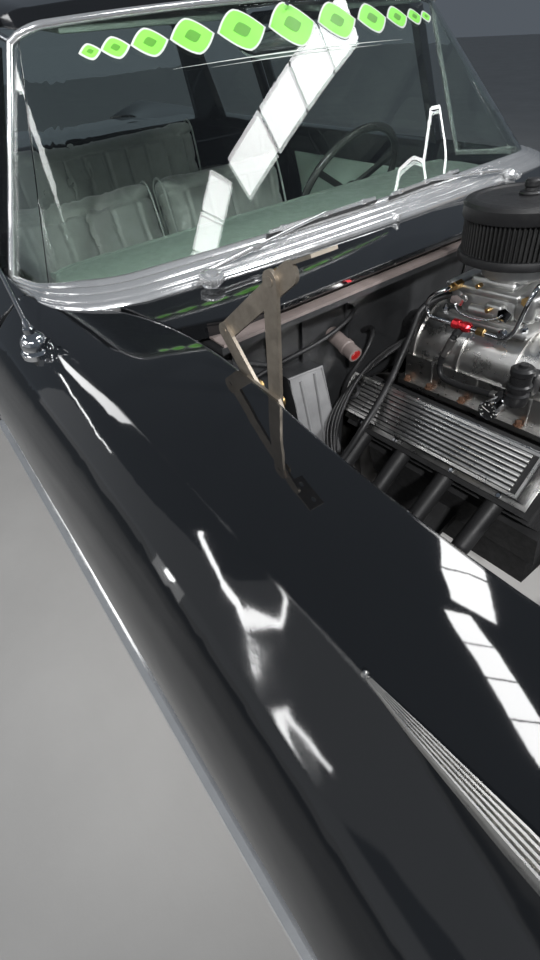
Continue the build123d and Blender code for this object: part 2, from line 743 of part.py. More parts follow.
def make_front_bumper():
    bar = bumper_arc(2540, 2400, 900, 390, 530, 30, True)
    arms = [beam((2505, y, 440), (2262, y * 0.86, 330), 50, 40) for y in (-440, 440)]
    guards = [block(2500, 2535, y - 30, y + 30, 380, 600) for y in (-330, 330)]
    return fused(bar, *arms, *guards)


def make_rear_bumper():
    bar = bumper_arc(-2540, -2420, 890, 390, 530, 30, False)
    arms = [beam((-2500, y, 436), (-2280.5, y, 436), 50, 36) for y in (-490, 490)]
    guards = [block(-2530, -2490, y - 30, y + 30, 380, 590) for y in (-330, 330)]
    return fused(bar, *arms, *guards)


def make_tail_lamps():
    shell = Pos(-2374.8, 868, 900) * (Rot(0, 90, 0) * Cylinder(38, 29))
    return both(shell)


def engine(shape):
    """Sets a piece that is drawn on a level crankshaft at its tilt in the car"""
    return Pos(crank_x, 0, crank_z) * (Rot(0, -engine_tilt, 0) * shape)


def bank(shape):
    """Lays a piece drawn upright over the left bank of cylinders at its slope"""
    return Rot(-45, 0, 0) * shape


def make_engine_block():
    case_shape = ((-140, -60), (140, -60), (165, 40), (60, 190), (-60, 190), (-165, 40))
    case = profile_x(case_shape, 10, block_length)
    pan = profile_x(((-125, -60), (125, -60), (110, -170), (-110, -170)), 30, block_length - 20)
    cylinders = bank(block(5, block_length - 10, -70, 70, 60, 225))
    head = bank(block(10, block_length - 15, -72, 62, 225, 285))
    left = fused(cylinders, head)
    whole = engine(fused(case, pan, left, other_side(left)))
    foot = beam((1230, 140, 424), (1230, 356, 318), 70, 20)
    return fitted(fused(whole, foot, other_side(foot)), nodes["chassis_frame"])


def make_valve_covers():
    body = block(8, 8 + cover_length, -52, 40, 285, 285 + cover_height)
    flange = block(2, 14 + cover_length, -62, 50, 285, 293)
    return both(engine(bank(body + flange)))


def make_supercharger():
    """The blower on its manifold: a case with a rounded crown, bands and end covers"""
    manifold = profile_x(((-60, 190), (60, 190), (95, blower_foot_z), (-95, blower_foot_z)), 40, 440)
    foot = block(blower_rear_x - 8, blower_front_x + 8, -blower_side_y - 16, blower_side_y + 16,
                 blower_foot_z, blower_foot_z + 12)
    case = block(blower_rear_x, blower_front_x, -blower_side_y, blower_side_y, blower_foot_z, blower_axis_z)
    length = blower_front_x - blower_rear_x
    middle = (blower_front_x + blower_rear_x) / 2
    crown = Pos(middle, 0, blower_axis_z) * (Rot(0, 90, 0) * Cylinder(blower_radius, length))
    bands = [Pos(x, 0, blower_axis_z) * (Rot(0, 90, 0) * Cylinder(blower_radius + 5, 9))
             for x in (blower_rear_x + 12, 200, 320, blower_front_x - 12)]
    nose = Pos(490.85, 0, blower_axis_z) * (Rot(0, 90, 0) * Cylinder(60, 81.7))
    return engine(fused(manifold, foot, case, crown, nose, *bands))


def make_carburettor():
    """Adaptor plate, body with its two float bowls, and throat"""
    plate = block(carb_x - 105, carb_x + 105, -80, 80, 408, 424)
    body = block(carb_x - 62, carb_x + 62, -68, 68, 424, 496)
    bowls = [block(carb_x + a, carb_x + a + 36, -62, 62, 432, 486) for a in (-98, 62)]
    horn = Pos(cleaner_x, 0, 513) * Cylinder(64, 34)
    whole = engine(fused(plate, body, horn, *bowls))
    return fitted(whole, nodes["supercharger"])


def make_air_cleaner():
    """Pleated filter between its base and its lid, with the nut on top"""
    base = Pos(cleaner_x, 0, 536) * Cylinder(cleaner_radius + 1, 12)
    element = Pos(cleaner_x, 0, 576) * Cylinder(cleaner_radius - 7, 72)
    lid = Pos(cleaner_x, 0, 620) * Cylinder(cleaner_radius, 30)
    nut = Pos(cleaner_x, 0, 646) * Cylinder(9, 24)
    return engine(fused(base, element, lid, nut))


# The fuel pipe, the hose to the regulator and the gauge on it, in the engine's drawing
fuel_pipe_route = ((159, -60, 480), (159, -112, 480), (122, -112, 450), (133, -112, 422), (283, -112, 418),
                   (312, -112, 447), (334, -106, 500), (334, -84, 518), (300, -50, 470))
regulator_hose_route = ((206, -112, 419), (194, -126, 379), (181, -128, 330), (213, -132, 304),
                        (300, -136, 311), (368, -148, 335))
regulator_place = (372, -150)

# The breather hose over the right valve cover, in the car
breather_route = ((1066, -60, 903), (1036, -112, 892), (1040, -135, 836), (1045, -180, 766),
                  (1064, -236, 732), (1078, -305, 686), (1067, -355, 610), (1048, -405, 545), (1034, -450, 500))


def hose(points, radius, bend):
    """A round hose or pipe along straight runs joined by arcs"""
    path = FilletPolyline(*points, radius=bend)
    start = Plane(origin=path @ 0, z_dir=path % 0)
    return sweep(start * Circle(radius), path=path)


def make_engine_hoses():
    x, y = regulator_place
    pipe_line = hose(fuel_pipe_route, 4, 10)
    tee = rod((172, -112, 421), (232, -112, 419.4), 8)
    feed = hose(regulator_hose_route, 6.5, 20)
    regulator = rod((x, y, 322), (x, y, 404), 22)
    bracket = block(x - 20, x + 20, y + 18, -blower_side_y, 330, 380)
    gauge = rod((341, y, 307), (341, y - 36, 307), 19)
    stem = rod((341, y + 10, 307), (x, y, 330), 9)
    fuel = fitted(engine(fused(pipe_line, tee, feed, regulator, bracket, gauge, stem)),
                  nodes["carburettor"], nodes["supercharger"])
    breather = fitted(hose(breather_route, 7.5, 22), nodes["carburettor"], nodes["bay_aprons"])
    return Compound(children=[fuel, breather])


def make_headers():
    pieces = []
    for x in (60, 180, 300, 420):
        port = (x, 218, 142)
        knee = (x - 10, 300, 60)
        pieces.append(rod(port, knee, 20))
        pieces.append(ball(knee, 20))
        pieces.append(rod(knee, (x - 40, 305, -40), 20))
    pieces.append(rod((430, 305, -42), (-25, 305, -42), 30))
    left = fused(*pieces)
    return both(fitted(engine(left), nodes["engine_block"]))


def make_belt_drive():
    hub = Pos(block_length + 24, 0, 0) * (Rot(0, 90, 0) * Cylinder(85, 40))
    pulley = Pos(560, 0, blower_axis_z) * (Rot(0, 90, 0) * Cylinder(72, 56))
    crank = Pos(block_length + 55, 0, 0) * (Rot(0, 90, 0) * Cylinder(60, 60))
    belt = block(535, 585, -80, -72, 0, blower_axis_z) + block(535, 585, 72, 80, 0, blower_axis_z)
    belt_wrap = Pos(560, 0, blower_axis_z) * (Rot(0, 90, 0) * (Cylinder(80, 50) - Cylinder(72, 60)))
    return engine(fused(hub, pulley, crank, belt_wrap, belt))


def make_driveline():
    bell = Solid.make_cone(190, 130, 180, Plane(origin=(4.7, 0, -10), z_dir=(-1, 0, 0)))
    box = block(-520, -170, -110, 110, -110, 100)
    tail = rod((-520, 0, 0), (-760, 0, 0), 50)
    whole = engine(fused(bell, box, tail))
    start = (205, 0, 378)
    shaft = rod(start, (rear_axle_x + 175, 0, axle_z + 5), 38)
    return fused(whole, shaft)


def make_rear_axle():
    tube = rod((rear_axle_x, -640, axle_z), (rear_axle_x, 640, axle_z), 38)
    case = ball((rear_axle_x, 0, axle_z), 135)
    nose = rod((rear_axle_x, 0, axle_z), (rear_axle_x + 170, 0, axle_z + 5), 60)
    plates = [rod((rear_axle_x, y, axle_z), (rear_axle_x, y + 8 * (1 if y > 0 else -1), axle_z), 140)
              for y in (-640, 640)]
    spindles = [rod((rear_axle_x, side * 640, axle_z), (rear_axle_x, side * 735, axle_z), 15)
                for side in (-1, 1)]
    leaf_sides = []
    for front_z, middle_z, rear_z in ((330, 296, 350), (300, 258, 320)):
        front = (rear_axle_x + 660, 0, front_z)
        middle = (rear_axle_x, 0, middle_z)
        leaf_sides.append(Edge.make_three_point_arc(front, middle, (rear_axle_x - 760, 0, rear_z)))
    top, low = leaf_sides
    ends = [Edge.make_line(top.position_at(t), low.position_at(t)) for t in (0, 1)]
    leaf = extrude(Face(Wire([top, low] + ends)), 56, dir=(0, 1, 0))
    springs = [leaf.moved(Location((0, y, 0))) for y in (552, -608)]
    for side in (-1, 1):
        springs.append(block(rear_axle_x - 60, rear_axle_x + 60, side * 550, side * 610, 250, 392))
    return fused(tube, case, nose, *plates, *spindles, *springs)


def make_front_suspension():
    rail_side = 380 + rail_width / 2 + 0.5
    end_y = kingpin_y
    x = front_axle_x
    low_arm = ((x - 150, rail_side), (x + 150, rail_side), (x + 22, end_y), (x - 22, end_y))
    lower = profile_z(low_arm, 224, 246)
    high_arm = ((x - 90, rail_side), (x + 90, rail_side), (x + 20, end_y), (x - 20, end_y))
    upper = profile_z(high_arm, 474, 494)
    tower = block(x - 90, x + 90, rail_side, rail_side + 16, 240, 500)
    coil = Pos(x, 490, 360) * Cylinder(45, 238)
    bosses = [Pos(x, kingpin_y, z) * Cylinder(26, height) for z, height in ((235, 22), (484, 20))]
    bore = Pos(x, kingpin_y, 360) * Cylinder(kingpin_radius + seat_gap, 400)
    return both(fused(lower, upper, coil, tower, *bosses) - bore)


def pipe(points, radius):
    """A bent pipe with round knees"""
    pieces = [rod(a, b, radius) for a, b in zip(points, points[1:])]
    pieces += [ball(p, radius) for p in points[1:-1]]
    return fused(*pieces)


def make_exhaust():
    route = [(941.2, 305, 394.8), (914, 305, 392.6), (870, 302, 290), (820, 300, 228), (500, 300, 225),
             (-640, 300, 225), (-900, 400, 250), (-1050, 415, 270), (-2060, 415, 280), (-2250, 590, 290),
             (-2500, 600, 300)]
    muffler = rod((100, 300, 225), (-400, 300, 225), 62)
    return both(fused(pipe(route, 27), muffler))


def make_fuel_tank():
    return block(-2200, -1760, -330, 330, 250, pan_z - seat_gap)


def make_dashboard():
    shape = ((880, 958), (760, 968), (650, 945), (600, 900), (606, 740), (640, 700), (664, 706), (645, 870),
             (700, 925), (880, 925))
    room = rod(tuple(column_foot), tuple(column_top), column_radius + seat_gap)
    return fitted(profile_y(shape, -700, 700) - room, nodes["cowl_top"])


def make_front_seat():
    cushion = block(-380, 160, -660, 660, 470, 620)
    base = block(-340, 100, 110, 600, floor_z + floor_wall + seat_gap, 471)
    back = profile_y(((-400, 560), (-540, 1010), (-420, 1030), (-250, 600)), -660, 660)
    return fused(cushion, base, other_side(base), back)


def make_rear_seat():
    cushion = block(-1140, -680, -600, 600, pan_z + floor_wall + seat_gap, 640)
    back = profile_y(((-1170, 630), (-1178, 975), (-1090, 970), (-1000, 630)), -600, 600)
    return fused(cushion, back)


def make_quarter_windows():
    plate = tilted_plate(quarter_window_outline, 0, glass)
    return both(fitted(plate, nodes["roof"], nodes["quarter_left"]))


def make_steering_column():
    return rod(tuple(column_foot), tuple(column_top), column_radius)


def make_steering_wheel():
    way = column_way
    frame = Plane(origin=wheel_centre, z_dir=way)
    rim = frame.location * Torus(205, 12)
    hub = Solid.make_cylinder(38, 58, Plane(origin=wheel_centre - way * 60, z_dir=way))
    spokes = [frame.location * (Rot(0, 0, a) * block(20, 200, -9, 9, -6, 6)) for a in (0, 120, 240)]
    return fused(rim, hub, *spokes)


def make_knuckle(side):
    pieces = [
        rod((front_axle_x, kingpin_y, 206), (front_axle_x, kingpin_y, 500), kingpin_radius),
        rod((front_axle_x, kingpin_y, axle_z), (front_axle_x, 745, axle_z), 15),
        rod((front_axle_x, 640, axle_z), (front_axle_x, 648, axle_z), 140),
        rod((front_axle_x, kingpin_y, axle_z), (front_axle_x, 648, axle_z), 40),
    ]
    whole = fused(*pieces)
    return on_side(whole, side)


def make_tyre(x, y):
    half = tyre_width / 2
    profile = [(rim_radius + 0.2, -half + 22), (rim_radius + 30, -half + 4), (265, -half), (320, -half + 6),
               (342, -half + 22), (tyre_radius, -half + 45)]
    points = profile + [(r, -w) for r, w in reversed(profile)]
    wire = Wire.make_polygon([Vector(r, w, 0) for r, w in points], close=True)
    ring = revolve(Face(wire), Axis.Y, 360)
    return ring.moved(Location((x, y, axle_z)))


def make_wheel(x, y, side):
    half = rim_width / 2
    profile = ((rim_radius, -half), (rim_radius, half), (rim_radius - 10, half),
               (rim_radius - 22, half - 20), (rim_radius - 22, -half + 20), (rim_radius - 10, -half))
    section = Wire.make_polygon([Vector(r, w * side, 0) for r, w in profile], close=True)
    rim = revolve(Face(section), Axis.Y, 360)
    disc = Rot(90, 0, 0) * Cylinder(rim_radius - 20, 14)
    holes = [Rot(0, a, 0) * (Pos(118, 0, 0) * (Rot(90, 0, 0) * Cylinder(34, 40))) for a in range(0, 360, 72)]
    disc = Pos(0, 30 * side, 0) * (disc - Compound(children=holes))
    drum = Pos(0, side * -50, 0) * (Rot(90, 0, 0) * (Cylinder(138, 56)))
    hub = Pos(0, side * 10, 0) * (Rot(90, 0, 0) * Cylinder(45, 80))
    bore = Pos(0, side * -40, 0) * (Rot(90, 0, 0) * Cylinder(15.3, 110))
    whole = fused(rim, disc, drum, hub) - bore
    return whole.moved(Location((x, y, axle_z)))


def make_wipers():
    pivot = rod((826, 490, 975), (822, 490, 1012), 14)
    arm = beam((822, 490, 1006), (812, 260, 1022), 10, 8)
    blade = beam((818, 470, 1020), (826, 60, 1030), 8, 12)
    whole = fitted(fused(pivot, arm, blade), nodes["cowl_top"], nodes["windshield"])
    return both(whole)


def make_antenna():
    x = 802
    y = -844
    mast = rod((x, y, 985), (700, -850, 1500), 2.5)
    whole = fused(rod((x, y, 955), (x, y, 980), 14), ball((x, y, 985), 14), mast)
    return fitted(whole, nodes["fender_right"])


def make_hood_hinges():
    """Raised hood hinges: two arms, the strap and the flange that the hood bolts to"""
    def link(a, b, y, wall=5, width=26):
        straight = beam((a[0], y, a[1]), (b[0], y, b[1]), wall, width)
        ends = [rod((p[0], y - wall / 2, p[1]), (p[0], y + wall / 2, p[1]), width / 2) for p in (a, b)]
        return fused(straight, *ends)
    y = hood_plate_y
    outline = ((1120, 870), (1240, 870), (1232, 960), (1218, 982), (1142, 984), (1120, 965))
    plate = profile_y(outline, y - 5, y)
    rear_arm = link(hood_rear_foot, hood_rear_pivot, y - 7.4)
    front_arm = link(hood_front_foot, hood_middle_pivot, y - 7.4)
    strap = link(hood_rear_pivot, hood_strap_end, y - 12.3)
    tilt = Pos(hood_strap_end[0], y - 28, hood_strap_end[1] + 10) * Rot(0, -flange_tilt, 0)
    flange = tilt * (Pos(12, 0, 0) * Box(58, 36, 4))
    bolt_holes = [tilt * (Pos(x, -4, 0) * Cylinder(4.5, 20)) for x in (-4, 28)]
    pins = [rod((p[0], y - 18, p[1]), (p[0], y - 4, p[1]), 6) for p in (hood_rear_pivot, hood_middle_pivot)]
    pins += [rod((p[0], y - 14, p[1]), (p[0], y - 2, p[1]), 8) for p in (hood_rear_foot, hood_front_foot)]
    whole = fused(plate, rear_arm, front_arm, strap, flange, *pins)
    for hole in bolt_holes:
        whole = whole - hole
    return both(fitted(whole, nodes["fender_left"]))


for name, side in (("left", 1), ("right", -1)):
    nodes["fender_" + name] = on_side(make_fender(), side)
    nodes["quarter_" + name] = on_side(make_quarter(), side)
    nodes["door_" + name] = on_side(make_door(), side)
    nodes["door_glass_" + name] = on_side(make_door_glass(), side)
    nodes["knuckle_" + name] = make_knuckle(side)
    for end, x, track in (("front", front_axle_x, track_front), ("rear", rear_axle_x, track_rear)):
        nodes["tyre_" + end + "_" + name] = make_tyre(x, side * track / 2)
        nodes["wheel_" + end + "_" + name] = make_wheel(x, side * track / 2, side)

nodes["windshield"] = make_windshield()
nodes["roof"] = make_roof()
nodes["rear_deck"] = make_deck()
nodes["quarter_windows"] = make_quarter_windows()
nodes["rear_window"] = make_rear_window()
nodes["cowl_top"] = make_cowl_top()
nodes["chassis_frame"] = make_frame()
nodes["trunk_lid"] = make_trunk_lid()
nodes["tail_panel"] = make_tail_panel()
nodes["firewall"] = make_firewall()
nodes["floor_pan"] = make_floor()
nodes["rear_pan"] = make_rear_pan()
nodes["sills"] = make_sills()
nodes["bay_aprons"] = make_aprons()
nodes["radiator"] = make_radiator()
nodes["nose_panel"] = make_nose()
nodes["grille"] = make_grille()
nodes["headlamps"] = make_headlamps()
nodes["front_bumper"] = make_front_bumper()
nodes["rear_bumper"] = make_rear_bumper()
nodes["tail_lamps"] = make_tail_lamps()
nodes["engine_block"] = make_engine_block()
nodes["valve_covers"] = make_valve_covers()
nodes["supercharger"] = make_supercharger()
nodes["carburettor"] = make_carburettor()
nodes["air_cleaner"] = make_air_cleaner()
nodes["exhaust_headers"] = make_headers()
nodes["engine_hoses"] = make_engine_hoses()
nodes["belt_drive"] = make_belt_drive()
nodes["driveline"] = make_driveline()
nodes["rear_axle"] = make_rear_axle()
nodes["front_suspension"] = make_front_suspension()
nodes["exhaust_pipes"] = make_exhaust()
nodes["fuel_tank"] = make_fuel_tank()
nodes["dashboard"] = make_dashboard()
nodes["front_seat"] = make_front_seat()
nodes["rear_seat"] = make_rear_seat()
nodes["steering_column"] = make_steering_column()
nodes["steering_wheel"] = make_steering_wheel()
nodes["wipers"] = make_wipers()
nodes["antenna"] = make_antenna()
nodes["hood_hinges"] = make_hood_hinges()

os.makedirs("parts", exist_ok=True)
for name, shape in nodes.items():
    export_step(shape, "parts/" + name + ".step")
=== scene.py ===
import math

import bpy
from mathutils import Matrix, Vector


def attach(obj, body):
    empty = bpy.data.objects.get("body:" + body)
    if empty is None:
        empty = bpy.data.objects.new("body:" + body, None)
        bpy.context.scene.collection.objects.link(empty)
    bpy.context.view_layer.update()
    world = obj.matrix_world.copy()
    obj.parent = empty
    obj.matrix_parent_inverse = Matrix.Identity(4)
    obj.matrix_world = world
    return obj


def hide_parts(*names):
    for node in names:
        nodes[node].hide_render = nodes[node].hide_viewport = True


bl_info = {
    "name": "Hot rod sedan",
    "version": (1, 0, 0),
    "blender": (4, 5, 0),
    "location": "3D View > Sidebar > Hot rod",
    "description": "Dresses the solids of a hot rod sedan with trim, engine details, seats and finishes",
    "category": "Object",
}

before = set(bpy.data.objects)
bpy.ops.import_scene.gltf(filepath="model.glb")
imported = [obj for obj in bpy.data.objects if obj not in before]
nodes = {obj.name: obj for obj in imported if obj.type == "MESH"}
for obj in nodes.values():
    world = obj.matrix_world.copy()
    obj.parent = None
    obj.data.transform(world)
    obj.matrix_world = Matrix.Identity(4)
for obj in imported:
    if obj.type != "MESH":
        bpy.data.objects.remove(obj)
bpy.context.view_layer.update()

# Where the engine's drawing lies in the car
CRANK = Vector((0.965, 0.0, 0.439))
ENGINE_TILT = math.radians(4.6)
ENGINE = Matrix.Translation(CRANK) @ Matrix.Rotation(-ENGINE_TILT, 4, "Y")
BANK_LEFT = ENGINE @ Matrix.Rotation(math.radians(-45), 4, "X")
BANK_RIGHT = ENGINE @ Matrix.Rotation(math.radians(45), 4, "X")

# Sides of the car, and each axle's name, place and track
SIDES = ((1, "left"), (-1, "right"))
AXLES = (("front", 1.690, 1.473), ("rear", -1.231, 1.494))
HUB_HEIGHT = 0.35

# How far the two beads of a side moulding lie from its middle
BEAD_LIFT = 0.0085

# Frames over which the seat cushions are inflated
SEAT_CLOTH_FRAMES = 14

finishes = {}


class HotRodColours(bpy.types.PropertyGroup):
    paint: bpy.props.FloatVectorProperty(
        name="Body paint", description="Gloss paint of the body", subtype="COLOR", size=3,
        min=0, max=1, default=(0.006, 0.0065, 0.0075))
    glass: bpy.props.FloatVectorProperty(
        name="Glass tint", description="Tint of the windows", subtype="COLOR", size=3,
        min=0, max=1, default=(0.87, 0.925, 0.895))
    banner: bpy.props.FloatVectorProperty(
        name="Banner green", description="Bright colour of the windshield banner", subtype="COLOR", size=3,
        min=0, max=1, default=(0.30, 0.95, 0.12))
    seat: bpy.props.FloatVectorProperty(
        name="Seat cloth", description="Main colour of the bench seats", subtype="COLOR", size=3,
        min=0, max=1, default=(0.20, 0.215, 0.205))
    dash: bpy.props.FloatVectorProperty(
        name="Dashboard", description="Paint of the dashboard and inner panels", subtype="COLOR", size=3,
        min=0, max=1, default=(0.20, 0.25, 0.22))
    bay: bpy.props.FloatVectorProperty(
        name="Engine bay", description="Paint of the firewall and aprons", subtype="COLOR", size=3,
        min=0, max=1, default=(0.035, 0.036, 0.038))


class HotRodSizes(bpy.types.PropertyGroup):
    cushion_crown: bpy.props.FloatProperty(
        name="Cushion crown", description="How far the stuffing may push a cushion out", unit="LENGTH",
        min=0, max=0.05, default=0.022)
    channel_depth: bpy.props.FloatProperty(
        name="Channel depth", description="Depth of the sewn channels", unit="LENGTH",
        min=0, max=0.03, default=0.010)
    channel_width: bpy.props.FloatProperty(
        name="Channel width", description="Half width of the sewn channels", unit="LENGTH",
        min=0.001, max=0.05, default=0.016)
    piping_radius: bpy.props.FloatProperty(
        name="Piping", description="Radius of the seats' piping", unit="LENGTH",
        min=0.001, max=0.01, default=0.0045)
    fuel_pipe: bpy.props.FloatProperty(
        name="Fuel pipe", description="Radius of the bright fuel pipe", unit="LENGTH",
        min=0.001, max=0.01, default=0.0043)
    fuel_hose: bpy.props.FloatProperty(
        name="Fuel hose", description="Radius of the fuel hose", unit="LENGTH",
        min=0.001, max=0.02, default=0.0068)
    breather_hose: bpy.props.FloatProperty(
        name="Breather hose", description="Radius of the breather hose", unit="LENGTH",
        min=0.001, max=0.02, default=0.0078)
    cover_fins: bpy.props.IntProperty(
        name="Cover fins", description="Number of fins on a valve cover", min=1, max=12, default=8)
    filter_pleats: bpy.props.IntProperty(
        name="Filter pleats", description="Number of pleats in the air filter", min=12, max=160, default=84)


def tree_node(tree, kind, **values):
    """Adds a node and sets its inputs by name and its settings by attribute"""
    made = tree.nodes.new(kind)
    for name, value in values.items():
        if name in made.inputs:
            made.inputs[name].default_value = value
        else:
            setattr(made, name, value)
    return made


def shade(colour, factor):
    return tuple(min(1.0, c * factor) for c in colour) + (1.0,)


def make_finish(name, colour, rough=(0.3, 0.45), metallic=0.0, spread=0.12, patch=7.0,
                grain=0.0, grain_size=0.002, sockets=None, edge=0.0):
    """A procedural finish: clouded colour, uneven roughness and a fine grain"""
    material = bpy.data.materials.new(name)
    material.use_nodes = True
    tree = material.node_tree
    shader = tree.nodes["Principled BSDF"]
    shader.inputs["Metallic"].default_value = metallic
    for socket, value in (sockets or {}).items():
        shader.inputs[socket].default_value = value
    place = tree_node(tree, "ShaderNodeTexCoord")
    cloud = tree_node(tree, "ShaderNodeTexNoise", Scale=patch, Detail=6.0, Roughness=0.6)
    ramp = tree_node(tree, "ShaderNodeValToRGB")
    ramp.color_ramp.elements[0].position = 0.3
    ramp.color_ramp.elements[1].position = 0.7
    ramp.color_ramp.elements[0].color = shade(colour, 1 - spread)
    ramp.color_ramp.elements[1].color = shade(colour, 1 + spread)
    evenness = tree_node(tree, "ShaderNodeMapRange")
    evenness.inputs["From Min"].default_value = 0.3
    evenness.inputs["From Max"].default_value = 0.7
    evenness.inputs["To Min"].default_value = rough[0]
    evenness.inputs["To Max"].default_value = rough[1]
    link = tree.links.new
    link(place.outputs["Object"], cloud.inputs["Vector"])
    link(cloud.outputs["Fac"], ramp.inputs["Fac"])
    link(ramp.outputs["Color"], shader.inputs["Base Color"])
    smear = tree_node(tree, "ShaderNodeTexNoise", Scale=patch * 3.1, Detail=4.0, Roughness=0.55)
    link(place.outputs["Object"], smear.inputs["Vector"])
    link(smear.outputs["Fac"], evenness.inputs["Value"])
    link(evenness.outputs["Result"], shader.inputs["Roughness"])
    if grain:
        fine = tree_node(tree, "ShaderNodeTexNoise", Scale=1 / grain_size, Detail=3.0, Roughness=0.6)
        bump = tree_node(tree, "ShaderNodeBump", Strength=1.0, Distance=grain)
        link(place.outputs["Object"], fine.inputs["Vector"])
        link(fine.outputs["Fac"], bump.inputs["Height"])
        link(bump.outputs["Normal"], shader.inputs["Normal"])
        if edge:
            rounded = tree_node(tree, "ShaderNodeBevel", Radius=edge)
            rounded.samples = 6
            link(rounded.outputs["Normal"], bump.inputs["Normal"])
            link(bump.outputs["Normal"], shader.inputs["Coat Normal"])
    finishes[name] = material
    return material


def make_glass(name, colour):
    """Tinted window glass that lets the light of the lamps through"""
    material = make_finish(name, colour, rough=(0.0, 0.015), spread=0.015, patch=2.0,
                           sockets={"Transmission Weight": 1.0, "IOR": 1.45})
    tree = material.node_tree
    shader = tree.nodes["Principled BSDF"]
    clear = tree_node(tree, "ShaderNodeBsdfTransparent", Color=tuple(colour) + (1.0,))
    rays = tree_node(tree, "ShaderNodeLightPath")
    mix = tree_node(tree, "ShaderNodeMixShader")
    out = tree.nodes["Material Output"]
    tree.links.new(rays.outputs["Is Shadow Ray"], mix.inputs[0])
    tree.links.new(shader.outputs["BSDF"], mix.inputs[1])
    tree.links.new(clear.outputs["BSDF"], mix.inputs[2])
    tree.links.new(mix.outputs["Shader"], out.inputs["Surface"])
    return material


def make_all_finishes():
    colours = bpy.context.scene.hot_rod_colours
    coat = {"Coat Weight": 1.0, "Coat Roughness": 0.015}
    make_finish("gloss_paint", tuple(colours.paint), (0.03, 0.06), spread=0.1, patch=3.0,
                grain=0.00001, grain_size=0.012, sockets=coat, edge=0.006)
    make_finish("satin_black", (0.02, 0.02, 0.021), (0.42, 0.6), grain=0.0002, grain_size=0.004)
    make_finish("bay_paint", tuple(colours.bay), (0.3, 0.5), spread=0.3, patch=9.0,
                grain=0.00015, grain_size=0.006)
    make_finish("chrome", (0.74, 0.75, 0.77), (0.03, 0.11), 1.0, spread=0.05, patch=14.0,
                grain=0.00002, grain_size=0.01)
    make_finish("bright_trim", (0.84, 0.845, 0.85), (0.12, 0.20), 0.8, spread=0.05, patch=14.0,
                grain=0.00001, grain_size=0.01)
    make_finish("polished_alloy", (0.72, 0.71, 0.69), (0.24, 0.36), 1.0, spread=0.10, patch=12.0,
                grain=0.00003, grain_size=0.004)
    make_finish("cast_alloy", (0.56, 0.56, 0.55), (0.38, 0.52), 1.0, spread=0.14, patch=22.0,
                grain=0.00012, grain_size=0.0025)
    make_finish("cast_iron", (0.02, 0.02, 0.021), (0.45, 0.65), spread=0.3, patch=20.0,
                grain=0.0004, grain_size=0.003)
    make_finish("steel", (0.33, 0.32, 0.31), (0.3, 0.5), 1.0, spread=0.25, patch=12.0,
                grain=0.0001, grain_size=0.003)
    make_finish("old_steel", (0.36, 0.315, 0.26), (0.38, 0.56), 0.75, spread=0.25, patch=26.0,
                grain=0.00012, grain_size=0.0025)
    make_finish("crackle_black", (0.012, 0.012, 0.013), (0.4, 0.55), spread=0.15, patch=30.0,
                grain=0.0003, grain_size=0.0014)
    make_finish("tyre_rubber", (0.017, 0.017, 0.018), (0.62, 0.8), spread=0.2, patch=9.0,
                grain=0.0003, grain_size=0.003)
    make_finish("seat_cloth", tuple(colours.seat), (0.45, 0.6), spread=0.12, patch=18.0,
                grain=0.0003, grain_size=0.0012, sockets={"Sheen Weight": 0.25, "Sheen Roughness": 0.5})
    make_finish("dash_paint", tuple(colours.dash), (0.35, 0.5), spread=0.1, patch=8.0,
                grain=0.0002, grain_size=0.002)
    make_finish("wheel_plastic", (0.02, 0.021, 0.02), (0.15, 0.25), spread=0.1)
    make_finish("red_lens", (0.42, 0.012, 0.01), (0.08, 0.16), spread=0.12, sockets=coat)
    make_finish("hose_rubber", (0.014, 0.014, 0.015), (0.38, 0.55), spread=0.2, patch=30.0,
                grain=0.0001, grain_size=0.0012)
    make_finish("filter_cloth", (0.012, 0.012, 0.012), (0.6, 0.8), spread=0.3, patch=60.0,
                grain=0.0002, grain_size=0.0012)
    make_finish("brass", (0.55, 0.37, 0.16), (0.25, 0.42), 1.0, spread=0.25, patch=40.0,
                grain=0.00008, grain_size=0.002)
    make_finish("rusty_steel", (0.20, 0.11, 0.07), (0.5, 0.7), 0.5, spread=0.4, patch=60.0,
                grain=0.0003, grain_size=0.0015)
    make_finish("red_anodised", (0.55, 0.02, 0.03), (0.2, 0.3), 0.7, spread=0.15, patch=40.0)
    make_finish("satin_plastic", (0.016, 0.016, 0.017), (0.25, 0.4), spread=0.15, patch=30.0,
                grain=0.00005, grain_size=0.002)
    make_finish("white_marks", (0.75, 0.75, 0.72), (0.4, 0.5), spread=0.08, patch=50.0)
    make_finish("seat_piping", shade(colours.seat, 1.35)[:3], (0.35, 0.5), spread=0.1, patch=20.0,
                grain=0.0001, grain_size=0.001)
    make_finish("banner_green", tuple(colours.banner), (0.35, 0.45), spread=0.1, patch=14.0)
    make_finish("banner_deep_green", shade(colours.banner, 0.45)[:3], (0.35, 0.45), spread=0.1, patch=14.0)
    make_finish("banner_white", (0.72, 0.76, 0.72), (0.35, 0.45), spread=0.05, patch=14.0)
    make_finish("dash_pad", shade(colours.dash, 0.5)[:3], (0.4, 0.55), spread=0.1, patch=16.0,
                grain=0.00025, grain_size=0.0014)
    make_finish("door_cloth", shade(colours.dash, 1.25)[:3], (0.4, 0.55), spread=0.1, patch=9.0,
                grain=0.0002, grain_size=0.0014)
    make_finish("panel_grey", (0.27, 0.27, 0.275), (0.3, 0.45), spread=0.15, patch=16.0,
                grain=0.0001, grain_size=0.003)
    make_finish("primer_brown", (0.20, 0.165, 0.155), (0.35, 0.5), spread=0.25, patch=12.0,
                grain=0.0001, grain_size=0.003)
    make_finish("plate_white", (0.62, 0.62, 0.58), (0.3, 0.4), spread=0.04, patch=20.0)
    make_glass("window_glass", tuple(colours.glass))
    make_glass("lamp_glass", (0.93, 0.95, 0.96))


